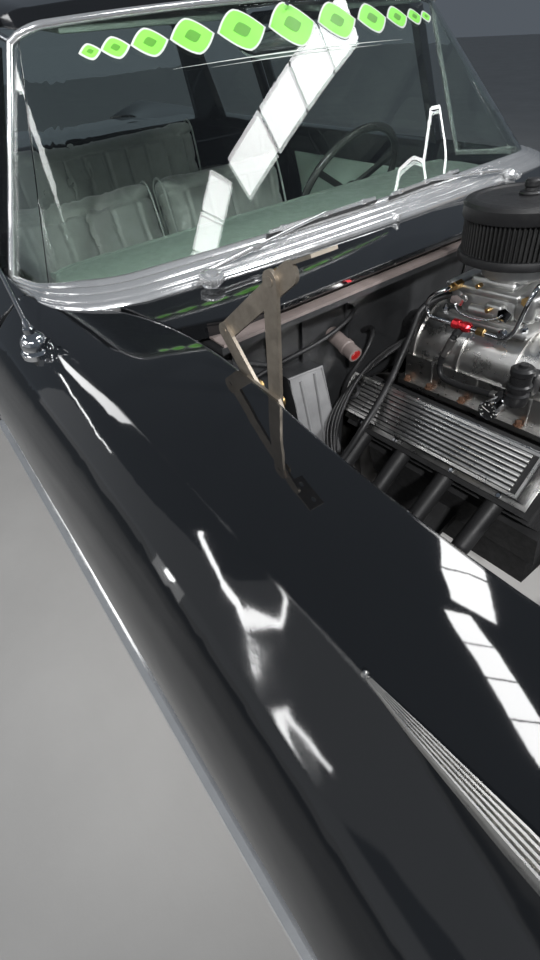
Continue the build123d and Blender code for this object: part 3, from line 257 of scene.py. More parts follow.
# The solids that each finish is for
solids_of = {
    "gloss_paint": "cowl_top door_left door_right fender_left fender_right nose_panel quarter_left quarter_right "
                   "rear_deck roof sills tail_panel trunk_lid",
    "window_glass": "door_glass_left door_glass_right quarter_windows rear_window windshield",
    "chrome": "antenna front_bumper grille rear_bumper wipers",
    "polished_alloy": "supercharger wheel_front_left wheel_front_right wheel_rear_left wheel_rear_right",
    "tyre_rubber": "tyre_front_left tyre_front_right tyre_rear_left tyre_rear_right",
    "satin_black": "chassis_frame exhaust_headers floor_pan front_suspension radiator rear_axle rear_pan",
    "steel": "belt_drive driveline exhaust_pipes fuel_tank",
    "cast_iron": "engine_block knuckle_left knuckle_right",
    "crackle_black": "air_cleaner valve_covers",
    "bay_paint": "bay_aprons firewall",
    "seat_cloth": "front_seat rear_seat",
    "dash_paint": "dashboard steering_column",
    "cast_alloy": "carburettor",
    "hose_rubber": "engine_hoses",
    "lamp_glass": "headlamps",
    "old_steel": "hood_hinges",
    "wheel_plastic": "steering_wheel",
    "red_lens": "tail_lamps",
}


def fresh():
    """Object mode with nothing selected"""
    if bpy.context.mode != "OBJECT":
        bpy.ops.object.mode_set(mode="OBJECT")
    bpy.ops.object.select_all(action="DESELECT")


def pick(*pieces):
    fresh()
    for piece in pieces:
        piece.select_set(True)
    bpy.context.view_layer.objects.active = pieces[-1]


def settled(piece, place=None):
    """Sets a piece in the car and leaves its object at the origin"""
    if place is not None:
        piece.matrix_world = place @ piece.matrix_world
    pick(piece)
    bpy.ops.object.transform_apply(location=True, rotation=True, scale=True)
    return piece


def outward(piece):
    pick(piece)
    bpy.ops.object.mode_set(mode="EDIT")
    bpy.ops.mesh.select_all(action="SELECT")
    bpy.ops.mesh.normals_make_consistent(inside=False)
    bpy.ops.object.mode_set(mode="OBJECT")
    return piece


def modified(piece, kind, **settings):
    """Adds a modifier with its settings and applies it"""
    change = piece.modifiers.new(kind.lower(), kind)
    for name, value in settings.items():
        setattr(change, name, value)
    pick(piece)
    bpy.ops.object.modifier_apply(modifier=change.name)
    return piece


def eased(piece, width, segments=2, angle=40):
    """Rounds the sharp edges of a piece"""
    return modified(piece, "BEVEL", width=width, segments=segments, limit_method="ANGLE",
                    angle_limit=math.radians(angle))


def block(low, high, edge=0.0, segments=2):
    """A box between two corners with eased edges"""
    low, high = Vector(low), Vector(high)
    fresh()
    bpy.ops.mesh.primitive_cube_add(size=1, location=(low + high) / 2)
    piece = bpy.context.object
    piece.scale = high - low
    settled(piece)
    return eased(piece, edge, segments) if edge else piece


def along(start, end):
    """The place of a piece that was drawn up Z from the origin, from start towards end"""
    start, end = Vector(start), Vector(end)
    return Matrix.Translation(start) @ (end - start).to_track_quat("Z", "Y").to_matrix().to_4x4()


def turned(steps, place=None, sides=40):
    """A solid turned about Z, from steps of radius and height"""
    radius, height = steps[0]
    fresh()
    bpy.ops.mesh.primitive_circle_add(vertices=sides, radius=radius, location=(0, 0, height),
                                      fill_type="NGON")
    piece = settled(bpy.context.object)
    bpy.ops.object.mode_set(mode="EDIT")
    bpy.ops.mesh.select_all(action="SELECT")
    for wide, high in steps[1:]:
        bpy.ops.mesh.extrude_region_move(TRANSFORM_OT_translate={"value": (0, 0, high - height)})
        grow = wide / radius
        bpy.ops.transform.resize(value=(grow, grow, 1), center_override=(0, 0, high))
        radius, height = wide, high
    bpy.ops.object.mode_set(mode="OBJECT")
    return settled(outward(piece), place)


def drum(start, end, radius, edge=0.001, sides=32):
    """A round bar between two points with chamfered ends"""
    long = (Vector(end) - Vector(start)).length
    return turned(((radius - edge, 0), (radius, edge), (radius, long - edge), (radius - edge, long)),
                  along(start, end), sides)


def plate(outline, thick, place=None, edge=0.0):
    """A plate cut to an outline in plan and as thick as said, upwards"""
    fresh()
    bpy.ops.mesh.primitive_circle_add(vertices=len(outline), radius=1, fill_type="NGON")
    piece = bpy.context.object
    for corner, (x, y) in zip(piece.data.vertices, outline):
        corner.co = (x, y, 0)
    bpy.ops.object.mode_set(mode="EDIT")
    bpy.ops.mesh.select_all(action="SELECT")
    bpy.ops.mesh.extrude_region_move(TRANSFORM_OT_translate={"value": (0, 0, thick)})
    bpy.ops.object.mode_set(mode="OBJECT")
    outward(piece)
    if edge:
        eased(piece, edge)
    return settled(piece, place)


def mm(points):
    """Points given in millimetres"""
    return [(x / 1000, y / 1000, z / 1000) for x, y, z in points]


def line_of(points, kind="POLY", closed=False):
    """A curve object through points; NURBS curves stay inside their corners"""
    curve = bpy.data.curves.new("line", "CURVE")
    curve.dimensions = "3D"
    curve.twist_mode = "Z_UP"
    spline = curve.splines.new(kind)
    spline.points.add(len(points) - 1)
    for point, place in zip(spline.points, points):
        point.co = tuple(place[:3]) + (1.0,)
        if len(place) > 3:
            point.radius = place[3]
    spline.use_cyclic_u = closed
    if kind == "NURBS":
        spline.order_u = 3
        spline.use_endpoint_u = not closed
        spline.resolution_u = 6
    piece = bpy.data.objects.new("line", curve)
    bpy.context.scene.collection.objects.link(piece)
    return piece


def meshed(piece):
    pick(piece)
    bpy.ops.object.convert(target="MESH")
    return bpy.context.object


def rod(points, radius, kind="POLY", closed=False, sides=5):
    """A round rod or tube that follows points"""
    piece = line_of(points, kind, closed)
    piece.data.bevel_depth = radius
    piece.data.bevel_resolution = sides
    piece.data.use_fill_caps = not closed
    return meshed(piece)


def swept(points, section, kind="POLY", closed=False):
    """A moulding whose section, in x to the right of its way and y up, follows points"""
    shape = line_of([(x, y, 0) for x, y in section], closed=True)
    shape.data.dimensions = "2D"
    piece = line_of(points, kind, closed)
    piece.data.bevel_mode = "OBJECT"
    piece.data.bevel_object = shape
    piece.data.use_fill_caps = not closed
    piece = meshed(piece)
    bpy.data.objects.remove(shape)
    return outward(piece)


def arc(a, b, c, steps):
    """Points of the arc in plan from a through b to c"""
    (ax, ay), (bx, by), (centre, cy) = a, b, c
    twice = 2 * (ax * (by - cy) + bx * (cy - ay) + centre * (ay - by))
    sa, sb, sc = ax * ax + ay * ay, bx * bx + by * by, centre * centre + cy * cy
    ux = (sa * (by - cy) + sb * (cy - ay) + sc * (ay - by)) / twice
    uy = (sa * (centre - bx) + sb * (ax - centre) + sc * (bx - ax)) / twice
    radius = math.hypot(ax - ux, ay - uy)
    first = math.atan2(ay - uy, ax - ux)
    last = math.atan2(cy - uy, centre - ux)
    through = math.atan2(by - uy, bx - ux)
    whole = math.tau
    if (through - first) % whole > (last - first) % whole:
        span = -((first - last) % whole)
    else:
        span = (last - first) % whole
    return [(ux + radius * math.cos(first + span * n / steps), uy + radius * math.sin(first + span * n / steps))
            for n in range(steps + 1)]


def copied(piece, place):
    """A copy of a piece with its own mesh, moved by place"""
    pick(piece)
    bpy.ops.object.duplicate(linked=False)
    return settled(bpy.context.object, place)


def moved(x=0.0, y=0.0, z=0.0):
    return Matrix.Translation((x, y, z))


def spun(degrees, axis="Z"):
    return Matrix.Rotation(math.radians(degrees), 4, axis)


def in_engine(pieces):
    """Pieces drawn in the engine's own frame, set in the car"""
    return [settled(piece, ENGINE) for piece in pieces]


def ring_of(piece, count, centre, axis="Z", first=0.0):
    """Copies of a piece in a ring about an axis through a centre"""
    centre = Vector(centre)
    copies = []
    for number in range(count):
        turn = Matrix.Rotation(math.radians(first) + math.tau * number / count, 4, axis)
        copies.append(copied(piece, Matrix.Translation(centre) @ turn @ Matrix.Translation(-centre)))
    bpy.data.objects.remove(piece)
    return copies


def other_side(piece):
    """The piece's twin on the other side of the car"""
    pick(piece)
    bpy.ops.object.duplicate(linked=False)
    return outward(settled(bpy.context.object, Matrix.Scale(-1, 4, (0, 1, 0))))


def joined(name, pieces, finish, body="body", smooth=35):
    """One piece of several, with its name, finish and the body it rides on"""
    pick(*pieces)
    if len(pieces) > 1:
        bpy.ops.object.join()
    piece = bpy.context.object
    piece.name = name
    piece.data.name = name
    piece.data.materials.clear()
    piece.data.materials.append(finishes[finish])
    pick(piece)
    bpy.ops.object.shade_smooth_by_angle(angle=math.radians(smooth))
    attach(piece, body)
    return piece


def cowl_height(x):
    """Height of the cowl's top at x"""
    rows = ((0.975, 0.974), (0.8, 0.996), (0.64, 0.99), (0.38, 0.958))
    for (x0, z0), (x1, z1) in zip(rows, rows[1:]):
        if x >= x1:
            return z0 + (z1 - z0) * (x0 - x) / (x0 - x1)
    return rows[-1][1]


def shield_foot():
    """The windshield's foot in plan, from the right post round to the left one"""
    right = [(0.43, -0.787), (0.5, -0.7794), (0.57, -0.7717)]
    right += arc((0.64, -0.764), (0.738, -0.706), (0.775, -0.6), 8)
    front = arc((0.775, -0.6), (0.797, 0.0), (0.775, 0.6), 24)
    return right + front[1:-1] + [(x, -y) for x, y in reversed(right)]


def shield_head():
    """The windshield's head in plan, from right to left, with its height"""
    right = [(0.372, -0.606)] + arc((0.388, -0.592), (0.4, -0.572), (0.408, -0.536), 5)
    front = arc((0.408, -0.536), (0.432, 0.0), (0.408, 0.536), 20)
    plan = right + front[1:-1] + [(x, -y) for x, y in reversed(right)]
    return [(x, y, 1.35 + (x - 0.372) * 0.6) for x, y in plan]


def touch(node, start, way):
    """Where a ray first meets a node, and the surface's normal there"""
    hit, place, normal = nodes[node].ray_cast(Vector(start), Vector(way))[:3]
    if not hit:
        raise ValueError("no surface of %s from %s" % (node, tuple(start)))
    return place, normal


class HOTROD_OT_shield_trim(bpy.types.Operator):
    """Ribbed moulding at the windshield's foot, and the bright line of its posts and head"""
    bl_idname = "hotrod.shield_trim"
    bl_label = "Windshield trim"

    def execute(self, context):
        section = (
            (-0.010, -0.010), (-0.029, 0.022), (-0.024, 0.027), (-0.016, 0.027), (-0.008, 0.023), (-0.005, 0.0195),
            (-0.002, 0.022), (0.006, 0.021), (0.014, 0.0165), (0.0165, 0.0125), (0.019, 0.015), (0.026, 0.0135),
            (0.033, 0.009), (0.0355, 0.005), (0.038, 0.007), (0.044, 0.004), (0.048, -0.002), (0.048, -0.010),
        )
        points = []
        for x, y in shield_foot():
            wide = min(1.0, max(0.42, 0.42 + (x - 0.58) / 0.14 * 0.58))
            points.append((x, y, cowl_height(x) + 0.002, wide))
        foot = swept(points, section)
        clip = block((0.79, 0.001, 0.99), (0.852, 0.009, 1.008), 0.002)
        joined("windshield_foot_trim", [eased(foot, 0.0008, 2, 25), clip], "bright_trim", smooth=50)
        rising = [(x + 0.004, y, z - 0.002) for x, y, z in shield_head()]
        posts = [(0.425, -0.789, 0.962)] + rising + [(0.425, 0.789, 0.962)]
        band = ((-0.007, -0.004), (-0.004, 0.004), (0.004, 0.004), (0.007, -0.004))
        joined("windshield_frame_trim", [swept(posts, band), rod(posts, 0.0075)], "bright_trim")
        return {"FINISHED"}


class HOTROD_OT_body_trim(bpy.types.Operator):
    """Side mouldings, ribbed fender spears, drip rails and door handles"""
    bl_idname = "hotrod.body_trim"
    bl_label = "Body trim"

    def moulding(self, name, body, side, start, end):
        """Two bright beads along the body's side with a dark gap between them"""
        rows = ((2.33, .922, .731), (2.0, .946, .737), (1.6, .951, .745), (1.3, .951, .751), (.95, .951, .758),
                (.615, .951, .765), (0, .951, .777), (-.559, .951, .789), (-1.15, .951, .800), (-1.5, .949, .807),
                (-1.9, .944, .815), (-2.36, .925, .824))
        steps = [start] + [x for x, y, z in rows if end < x < start] + [end]
        points = []
        for x in steps:
            for (x0, y0, z0), (x1, y1, z1) in zip(rows, rows[1:]):
                if x0 >= x >= x1:
                    share = (x0 - x) / (x0 - x1)
                    points.append((x, y0 + (y1 - y0) * share, z0 + (z1 - z0) * share))
        way = [(x, y * side, z) for x, y, z in reversed(points)]
        bead = ((-0.004, -0.004), (0.004, -0.004), (0.007, -0.002), (0.0078, 0.0005), (0.0065, 0.003),
                (-0.004, 0.004))
        upper = [(x, BEAD_LIFT + y) for x, y in bead]
        lower = [(x, -BEAD_LIFT - y) for x, y in reversed(bead)]
        gap = [(-0.004, -0.0045), (0.0035, -0.0045), (0.0035, 0.0045), (-0.004, 0.0045)]
        if side > 0:
            upper, lower, gap = ([(-x, y) for x, y in reversed(section)] for section in (upper, lower, gap))
        beads = [swept(way, section) for section in (upper, lower)]
        joined(name + "_gap", [swept(way, gap)], "satin_black", body, 25)
        joined(name, beads, "bright_trim", body, 25)

    def spear(self, side):
        """The pointed ribbed ornament along a fender's crease"""
        top = ((1.548, 0.813, 0.9685, 0.12), (1.6, 0.814, 0.9675, 0.45), (1.68, 0.814, 0.9655, 0.8),
               (1.8, 0.814, 0.9625, 1.0), (2.0, 0.814, 0.9575, 1.0), (2.2, 0.8055, 0.9485, 1.0),
               (2.315, 0.8005, 0.943, 1.0))
        section = [(-0.0125, -0.006), (-0.0125, 0.007)]
        for rib in range(5):
            middle = -0.010 + rib * 0.005
            section += [(middle - 0.0021, 0.008), (middle - 0.0011, 0.0125), (middle + 0.0011, 0.0125),
                        (middle + 0.0021, 0.008)]
        section += [(0.0125, 0.007), (0.0125, -0.006)]
        points = [(x, y * side, z + 0.001, wide) for x, y, z, wide in top]
        tip = turned(((0.0012, 0), (0.003, 0.002), (0.0035, 0.004), (0.002, 0.0065), (0.0008, 0.007)),
                     moved(1.548, 0.813 * side, 0.967), 12)
        return [swept(points, section), tip]

    def execute(self, context):
        for side, name in SIDES:
            self.moulding("fender_moulding_" + name, "body", side, 2.325, 0.630)
            self.moulding("door_moulding_" + name, "door_" + name, side, 0.611, -0.551)
            self.moulding("quarter_moulding_" + name, "body", side, -0.568, -2.352)
            joined("fender_spear_" + name, self.spear(side), "polished_alloy", smooth=25)
            rail = [(0.372, .606, 1.352)] + [(x, half + 0.002, z - 0.002) for x, z, half in (
                (.3, 1.378, .618), (0, 1.396, .64), (-.4, 1.402, .644), (-.8, 1.394, .63), (-1.0, 1.378, .609),
                (-1.12, 1.366, .597))]
            drip = rod([(x, y * side, z) for x, y, z in rail], 0.0055, "NURBS")
            joined("drip_rail_" + name, [drip], "chrome")
            self.handle(side, name)
        return {"FINISHED"}

    def handle(self, side, name):
        """A bowed grip on two round feet, with its lock"""
        ends = [touch("door_" + name, (x, 1.2 * side, 0.865), (0, -side, 0)) for x in (-0.36, -0.50)]
        (front, out), (rear, out_rear) = ends
        pads = [turned(((0.014, -0.003), (0.015, 0.003), (0.011, 0.008), (0.008, 0.022), (0.006, 0.024)),
                       along(place, place + normal), 24) for place, normal in ends]
        lift = 0.026
        grip = rod([front + out * 0.012 + Vector((0.022, 0, 0)), front + out * lift,
                    (front + rear) / 2 + out * (lift + 0.004), rear + out_rear * lift,
                    rear + out_rear * 0.012 - Vector((0.02, 0, 0))], 0.0075, "NURBS")
        keyhole = rear - Vector((0.045, 0, 0.002))
        lock = turned(((0.011, -0.002), (0.011, 0.003), (0.009, 0.0045), (0.004, 0.005), (0.0035, 0.0035)),
                      along(keyhole, keyhole + out_rear), 24)
        joined("door_handle_" + name, pads + [grip, lock], "chrome", "door_" + name)


class HOTROD_OT_wipers(bpy.types.Operator):
    """Serrated wiper knobs, jointed arms and blades along the glass"""
    bl_idname = "hotrod.wipers"
    bl_label = "Wipers"

    def execute(self, context):
        metal = []
        rubber = []
        for pivot, tip, end in (((0.838, -0.508), (0.785, -0.325), (0.790, -0.018)),
                                ((0.838, 0.455), (0.791, 0.037), (0.779, 0.300))):
            x, y = pivot
            base = cowl_height(x) - 0.004
            stand = moved(x, y, base) @ spun(14, "Y")
            metal.append(turned(((0.017, 0), (0.018, 0.004), (0.0125, 0.008), (0.0125, 0.012), (0.021, 0.016),
                                 (0.0225, 0.021), (0.021, 0.026), (0.014, 0.028), (0.012, 0.032), (0.004, 0.034)),
                                stand, 36))
            tooth = block((0.0205, -0.0012, 0.0155), (0.0242, 0.0012, 0.0262), 0.0005)
            metal += [settled(piece, stand) for piece in ring_of(tooth, 24, (0, 0, 0))]
            metal.append(drum(stand @ Vector((0.012, 0, 0.004)), stand @ Vector((0.047, 0, -0.010)), 0.004))
            low = Vector(tip + (1.030,))
            high = Vector(end + (1.033,))
            middle = (low + high) / 2
            hub = Vector((x - 0.004, y, base + 0.030))
            knee = hub.lerp(middle, 0.36) + Vector((0.004, 0, 0.004))
            metal.append(rod((hub, knee), 0.0052))
            metal.append(block(knee - Vector((0.006, 0.012, 0.005)), knee + Vector((0.006, 0.012, 0.005)), 0.002))
            metal.append(rod((knee, knee.lerp(middle, 0.6) + Vector((0.0, 0, 0.003)),
                              middle + Vector((0, 0, 0.004))), 0.0036))
            way = (high - low).normalized()
            metal.append(swept([tuple(low + Vector((0, 0, 0.001))), tuple(high + Vector((0, 0, 0.001)))],
                               ((-0.0035, -0.002), (0.0035, -0.002), (0.0025, 0.004), (-0.0025, 0.004))))
            for share in (0.12, 0.5, 0.88):
                spot = low.lerp(high, share)
                metal.append(block(spot - Vector((0.005, 0.007, 0.003)), spot + Vector((0.005, 0.007, 0.007)),
                                   0.002))
            rubber.append(swept([tuple(low - way * 0.006), tuple(high + way * 0.006)],
                                ((-0.004, -0.009), (0.0, -0.009), (0.003, -0.002), (-0.003, -0.002))))
        arms = joined("wiper_arms", metal, "bright_trim")
        joined("wiper_blades", rubber, "hose_rubber")
        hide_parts("wipers")
        return {"FINISHED"}


class HOTROD_OT_antenna(bpy.types.Operator):
    """The antenna with its stepped base, ball and thin mast"""
    bl_idname = "hotrod.antenna"
    bl_label = "Antenna"

    def execute(self, context):
        x, y = 0.802, -0.844
        low = touch("fender_right", (x, y, 1.2), (0, 0, -1))[0]
        base = turned(((0.027, -0.008), (0.028, 0.001), (0.026, 0.004), (0.0225, 0.006), (0.0232, 0.011),
                       (0.0225, 0.018), (0.019, 0.025), (0.013, 0.030), (0.0095, 0.032), (0.0095, 0.040),
                       (0.0065, 0.043), (0.005, 0.052), (0.003, 0.056)),
                      moved(x, y, low.z), 36)
        start = Vector((x, y, low.z + 0.05))
        end = Vector((0.700, -0.850, 1.495))
        thick = rod((start, start.lerp(end, 0.45)), 0.0032)
        thin = rod((start.lerp(end, 0.44), end), 0.0021)
        tip = turned(((0.001, -0.004), (0.0036, -0.002), (0.004, 0.001), (0.002, 0.004), (0.001, 0.0045)),
                     along(end, end + (end - start)), 16)
        whip = joined("antenna_mast", [base, thick, thin, tip], "chrome")
        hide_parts("antenna")
        return {"FINISHED"}


def four_wheels():
    """Each wheel's name, its side and its middle"""
    return [(end + "_" + name, side, moved(x, side * track / 2, HUB_HEIGHT))
            for end, x, track in AXLES for side, name in SIDES]


class HOTROD_OT_tyres(bpy.types.Operator):
    """Tyres with grooved tread and sidewall rings"""
    bl_idname = "hotrod.tyres"
    bl_label = "Tyres"

    def execute(self, context):
        half = 0.1025
        wall = [(0.1905, half - 0.024), (0.197, half - 0.016), (0.204, half - 0.012), (0.222, half - 0.003),
                (0.250, half + 0.0), (0.262, half + 0.001), (0.264, half - 0.002), (0.268, half - 0.002),
                (0.270, half), (0.290, half - 0.002), (0.318, half - 0.008), (0.334, half - 0.017),
                (0.3425, half - 0.026), (0.3475, half - 0.038)]
        crown = []
        for groove in (0.046, 0.0155):
            crown += [(0.3495, groove + 0.004), (0.3425, groove + 0.003), (0.3425, groove - 0.003),
                      (0.35, groove - 0.004)]
        upper = wall + crown
        steps = [(r, -w) for r, w in upper] + [(r, w) for r, w in reversed(upper)]
        inner = [(0.1902, half - 0.03), (0.1902, -half + 0.03)]
        for name, side, middle in four_wheels():
            tyre = settled(self.ring(steps + inner), middle)
            made = joined("tyre_" + name + "_tread", [tyre], "tyre_rubber", "wheel_" + name, 40)
            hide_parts("tyre_" + name)
        return {"FINISHED"}

    def ring(self, section):
        """A closed section in radius and width, spun about Y"""
        fresh()
        bpy.ops.mesh.primitive_circle_add(vertices=len(section), radius=1, fill_type="NOTHING")
        piece = bpy.context.object
        for corner, (radius, width) in zip(piece.data.vertices, section):
            corner.co = (radius, width, 0)
        bpy.ops.object.mode_set(mode="EDIT")
        bpy.ops.mesh.select_all(action="SELECT")
        bpy.ops.mesh.spin(steps=72, angle=math.tau, center=(0, 0, 0), axis=(0, 1, 0))
        bpy.ops.mesh.select_all(action="SELECT")
        bpy.ops.mesh.remove_doubles(threshold=0.00005)
        bpy.ops.mesh.normals_make_consistent(inside=False)
        bpy.ops.object.mode_set(mode="OBJECT")
        return settled(piece)


class HOTROD_OT_wheels(bpy.types.Operator):
    """Wheel nuts, centre caps and bright outer lips on the alloy wheels"""
    bl_idname = "hotrod.wheels"
    bl_label = "Wheel details"

    def execute(self, context):
        for name, side, middle in four_wheels():
            rim = [tuple(p) + (0.0795,) for p in arc((0.186, 0), (-0.186, 0.00001), (0.186, -0.00001), 72)[:-1]]
            lip = swept(rim, ((-0.007, -0.003), (0.007, -0.003), (0.007, 0.003), (0.002, 0.006), (-0.006, 0.002)),
                        closed=True)
            cap = turned(((0.040, 0.046), (0.047, 0.048), (0.047, 0.053), (0.043, 0.057), (0.041, 0.066),
                          (0.034, 0.075), (0.020, 0.080), (0.008, 0.0815)), None, 48)
            nut = turned(((0.0125, 0.036), (0.0125, 0.048), (0.0105, 0.052), (0.006, 0.058), (0.002, 0.059)),
                         moved(0.068), 6)
            washer = turned(((0.016, 0.036), (0.016, 0.0395), (0.013, 0.0405)), moved(0.068), 20)
            nuts = ring_of(nut, 5, (0, 0, 0), first=36) + ring_of(washer, 5, (0, 0, 0), first=36)
            pieces = [settled(piece, middle @ spun(-90 * side, "X")) for piece in [lip, cap] + nuts]
            joined("wheel_fittings_" + name, pieces, "chrome", "wheel_" + name)
        return {"FINISHED"}


def cushion(low, high, crown):
    """A soft block, inflated as cloth by no more than its crown"""
    piece = block(low, high, 0.028, 3)
    modified(piece, "REMESH", mode="VOXEL", voxel_size=0.008)
    rest = [corner.co.copy() for corner in piece.data.vertices]
    cloth = piece.modifiers.new("stuffing", "CLOTH")
    cloth.settings.use_pressure = True
    cloth.settings.uniform_pressure_force = 4.0
    cloth.settings.effector_weights.gravity = 0.0
    cloth.settings.quality = 4
    cloth.point_cache.frame_start = 1
    cloth.point_cache.frame_end = SEAT_CLOTH_FRAMES
    scene = bpy.context.scene
    for number in range(1, SEAT_CLOTH_FRAMES + 1):
        scene.frame_set(number)
    pick(piece)
    bpy.ops.object.modifier_apply(modifier=cloth.name)
    for corner, start in zip(piece.data.vertices, rest):
        shift = corner.co - start
        if shift.length > crown:
            corner.co = start + shift.normalized() * crown
    scene.frame_set(1)
    return settled(modified(piece, "SMOOTH", factor=0.5, iterations=4))


def press(piece, lines, axis, depth, width, keep):
    """Presses sewn channels into a cushion at places along an axis, where keep allows it"""
    for corner in piece.data.vertices:
        near = min(abs(corner.co[axis] - line) for line in lines)
        if near < width and keep(corner.co):
            corner.co -= corner.normal * (depth * (1 - near / width) ** 2)


class HOTROD_OT_seats(bpy.types.Operator):
    """Bench seats with stuffed cushions, sewn channels and piping"""
    bl_idname = "hotrod.seats"
    bl_label = "Seats"

    def bench(self, name, cushion_low, cushion_high, back_place, back_size, split):
        """A bench seat of one or two halves, each with a cushion and a back"""
        sizes = bpy.context.scene.hot_rod_sizes
        crown, depth, width = sizes.cushion_crown, sizes.channel_depth, sizes.channel_width
        half = cushion_high[1]
        pieces = []
        piping = []
        halves = ((-half, -0.004), (0.004, half)) if split else ((-half, half),)
        for y0, y1 in halves:
            base = cushion((cushion_low[0], y0 + 0.02, cushion_low[2] + 0.015),
                           (cushion_high[0] - 0.015, y1 - 0.02, cushion_high[2] - 0.02), crown)
            count = max(2, round((y1 - y0) / 0.11))
            lines = [y0 + (y1 - y0) * n / count for n in range(1, count)]
            top = cushion_high[2] - 0.05
            press(base, lines, 1, depth, width, lambda co: co.z > top)
            pieces.append(base)
            high, deep = back_size
            back = cushion((-deep / 2 + 0.01, y0 + 0.02, 0.02), (deep / 2 - 0.015, y1 - 0.02, high - 0.03), crown)
            press(back, lines, 1, depth, width, lambda co: co.x > 0.0 and 0.1 < co.z < high - 0.09)
            press(back, (high - 0.085,), 2, depth * 1.2, width, lambda co: co.x > 0.0)
            settled(back, back_place)
            pieces.append(back)
            for edge in (y0 + 0.028, y1 - 0.028):
                welt = [(cushion_low[0] + 0.08, edge, cushion_high[2] - 0.012),
                        (cushion_high[0] - 0.07, edge, cushion_high[2] - 0.012),
                        (cushion_high[0] - 0.02, edge, cushion_high[2] - 0.045),
                        (cushion_high[0] - 0.012, edge, cushion_low[2] + 0.05)]
                piping.append(rod(welt, sizes.piping_radius, "NURBS"))
                loop = [(deep / 2 - 0.02, edge, 0.08), (deep / 2 - 0.018, edge, high - 0.09),
                        (deep / 2 - 0.045, edge, high - 0.026), (-deep / 2 + 0.045, edge, high - 0.026),
                        (-deep / 2 + 0.014, edge, high - 0.08), (-deep / 2 + 0.012, edge, 0.1)]
                piping.append(settled(rod(loop, sizes.piping_radius, "NURBS"), back_place))
        soft = joined(name + "_cushions", pieces, "seat_cloth", smooth=60)
        joined(name + "_piping", piping, "seat_piping", smooth=60)
        return soft

    def execute(self, context):
        front = self.bench("front_seat", (-0.38, -0.66, 0.47), (0.16, 0.66, 0.62),
                           moved(-0.395, 0, 0.575) @ spun(-17, "Y"), (0.375, 0.15), True)
        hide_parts("front_seat")
        rear = self.bench("rear_seat", (-1.14, -0.60, 0.507), (-0.68, 0.60, 0.64),
                          moved(-1.09, 0, 0.63) @ spun(-8, "Y"), (0.405, 0.14), False)
        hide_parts("rear_seat")
        stands = [block((-0.34, low, 0.3363), (0.10, high, 0.485), 0.01)
                  for low, high in ((0.11, 0.60), (-0.60, -0.11))]
        joined("front_seat_stands", stands, "satin_black")
        return {"FINISHED"}


class HOTROD_OT_valve_covers(bpy.types.Operator):
    """Fins, rims, bolts and a plug on the valve covers"""
    bl_idname = "hotrod.valve_covers"
    bl_label = "Valve covers"

    def execute(self, context):
        fins = []
        bolts = []
        count = context.scene.hot_rod_sizes.cover_fins
        for place, low_y, high_y in ((BANK_RIGHT, -0.040, 0.052), (BANK_LEFT, -0.052, 0.040)):
            for number in range(count):
                y = (low_y + high_y) / 2 + (number - (count - 1) / 2) * 0.0098
                fin = block((0.024, y - 0.0033, 0.3545), (0.462, y + 0.0033, 0.3605), 0.0010)
                fins.append(settled(fin, place))
            frame_rim = [(0.012, low_y + 0.004), (0.476, low_y + 0.004), (0.476, high_y - 0.004),
                         (0.012, high_y - 0.004)]
            rim = swept([(x, y, 0.3555) for x, y in frame_rim],
                        ((-0.0048, -0.002), (0.0048, -0.002), (0.004, 0.003), (-0.004, 0.003)), closed=True)
            fins.append(settled(rim, place))
            edge = [(0.001, low_y - 0.011), (0.487, low_y - 0.011), (0.487, high_y + 0.011),
                    (0.001, high_y + 0.011)]
            lip = plate(edge, 0.0022, moved(0, 0, 0.2926), 0.001)
            fins.append(settled(lip, place))
            for x in (0.055, 0.165, 0.32, 0.43):
                for y in (low_y - 0.0055, high_y + 0.0055):
                    head = turned(((0.0055, 0.294), (0.0055, 0.299), (0.0045, 0.300)), moved(x, y), 6)
                    bolts.append(settled(head, place))
        joined("valve_cover_fins", fins, "polished_alloy", smooth=25)
        joined("valve_cover_bolts", bolts, "chrome", smooth=25)
        grommet = turned(((0.017, 0.354), (0.0185, 0.357), (0.0185, 0.364), (0.013, 0.367), (0.012, 0.361),
                          (0.004, 0.36)), moved(0.04, 0.006), 28)
        joined("valve_cover_plug", [settled(grommet, BANK_RIGHT)], "hose_rubber")
        return {"FINISHED"}


class HOTROD_OT_air_cleaner(bpy.types.Operator):
    """Pleated filter under a dished lid with its ringed knob"""
    bl_idname = "hotrod.air_cleaner"
    bl_label = "Air cleaner"

    def execute(self, context):
        middle = ENGINE @ moved(0.235, 0, 0)
        base = turned(((0.070, 0.529), (0.106, 0.531), (0.1125, 0.534), (0.1135, 0.540), (0.111, 0.548),
                       (0.104, 0.549), (0.102, 0.545)), middle, 72)
        lid = turned(((0.098, 0.607), (0.1115, 0.607), (0.1125, 0.610), (0.1125, 0.628), (0.109, 0.634),
                      (0.100, 0.637), (0.092, 0.6365), (0.089, 0.633), (0.070, 0.634), (0.030, 0.6355),
                      (0.004, 0.636)), middle, 72)
        knob = turned(((0.019, 0.634), (0.020, 0.638), (0.0185, 0.641), (0.012, 0.642), (0.0115, 0.646),
                       (0.0135, 0.649), (0.0135, 0.656), (0.011, 0.6595), (0.004, 0.660)), middle, 36)
        shell = joined("air_cleaner_shell", [base, lid, knob], "crackle_black", smooth=30)
        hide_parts("air_cleaner")
        pleat = block((0.0985, -0.0016, 0.546), (0.1075, 0.0016, 0.609), 0.0007, 1)
        count = context.scene.hot_rod_sizes.filter_pleats
        pleats = [settled(piece, middle) for piece in ring_of(pleat, count, (0, 0, 0))]
        core = turned(((0.090, 0.545), (0.0995, 0.546), (0.0995, 0.609), (0.090, 0.610)), middle, 84)
        joined("air_filter_pleats", pleats + [core], "filter_cloth", smooth=30)
        return {"FINISHED"}


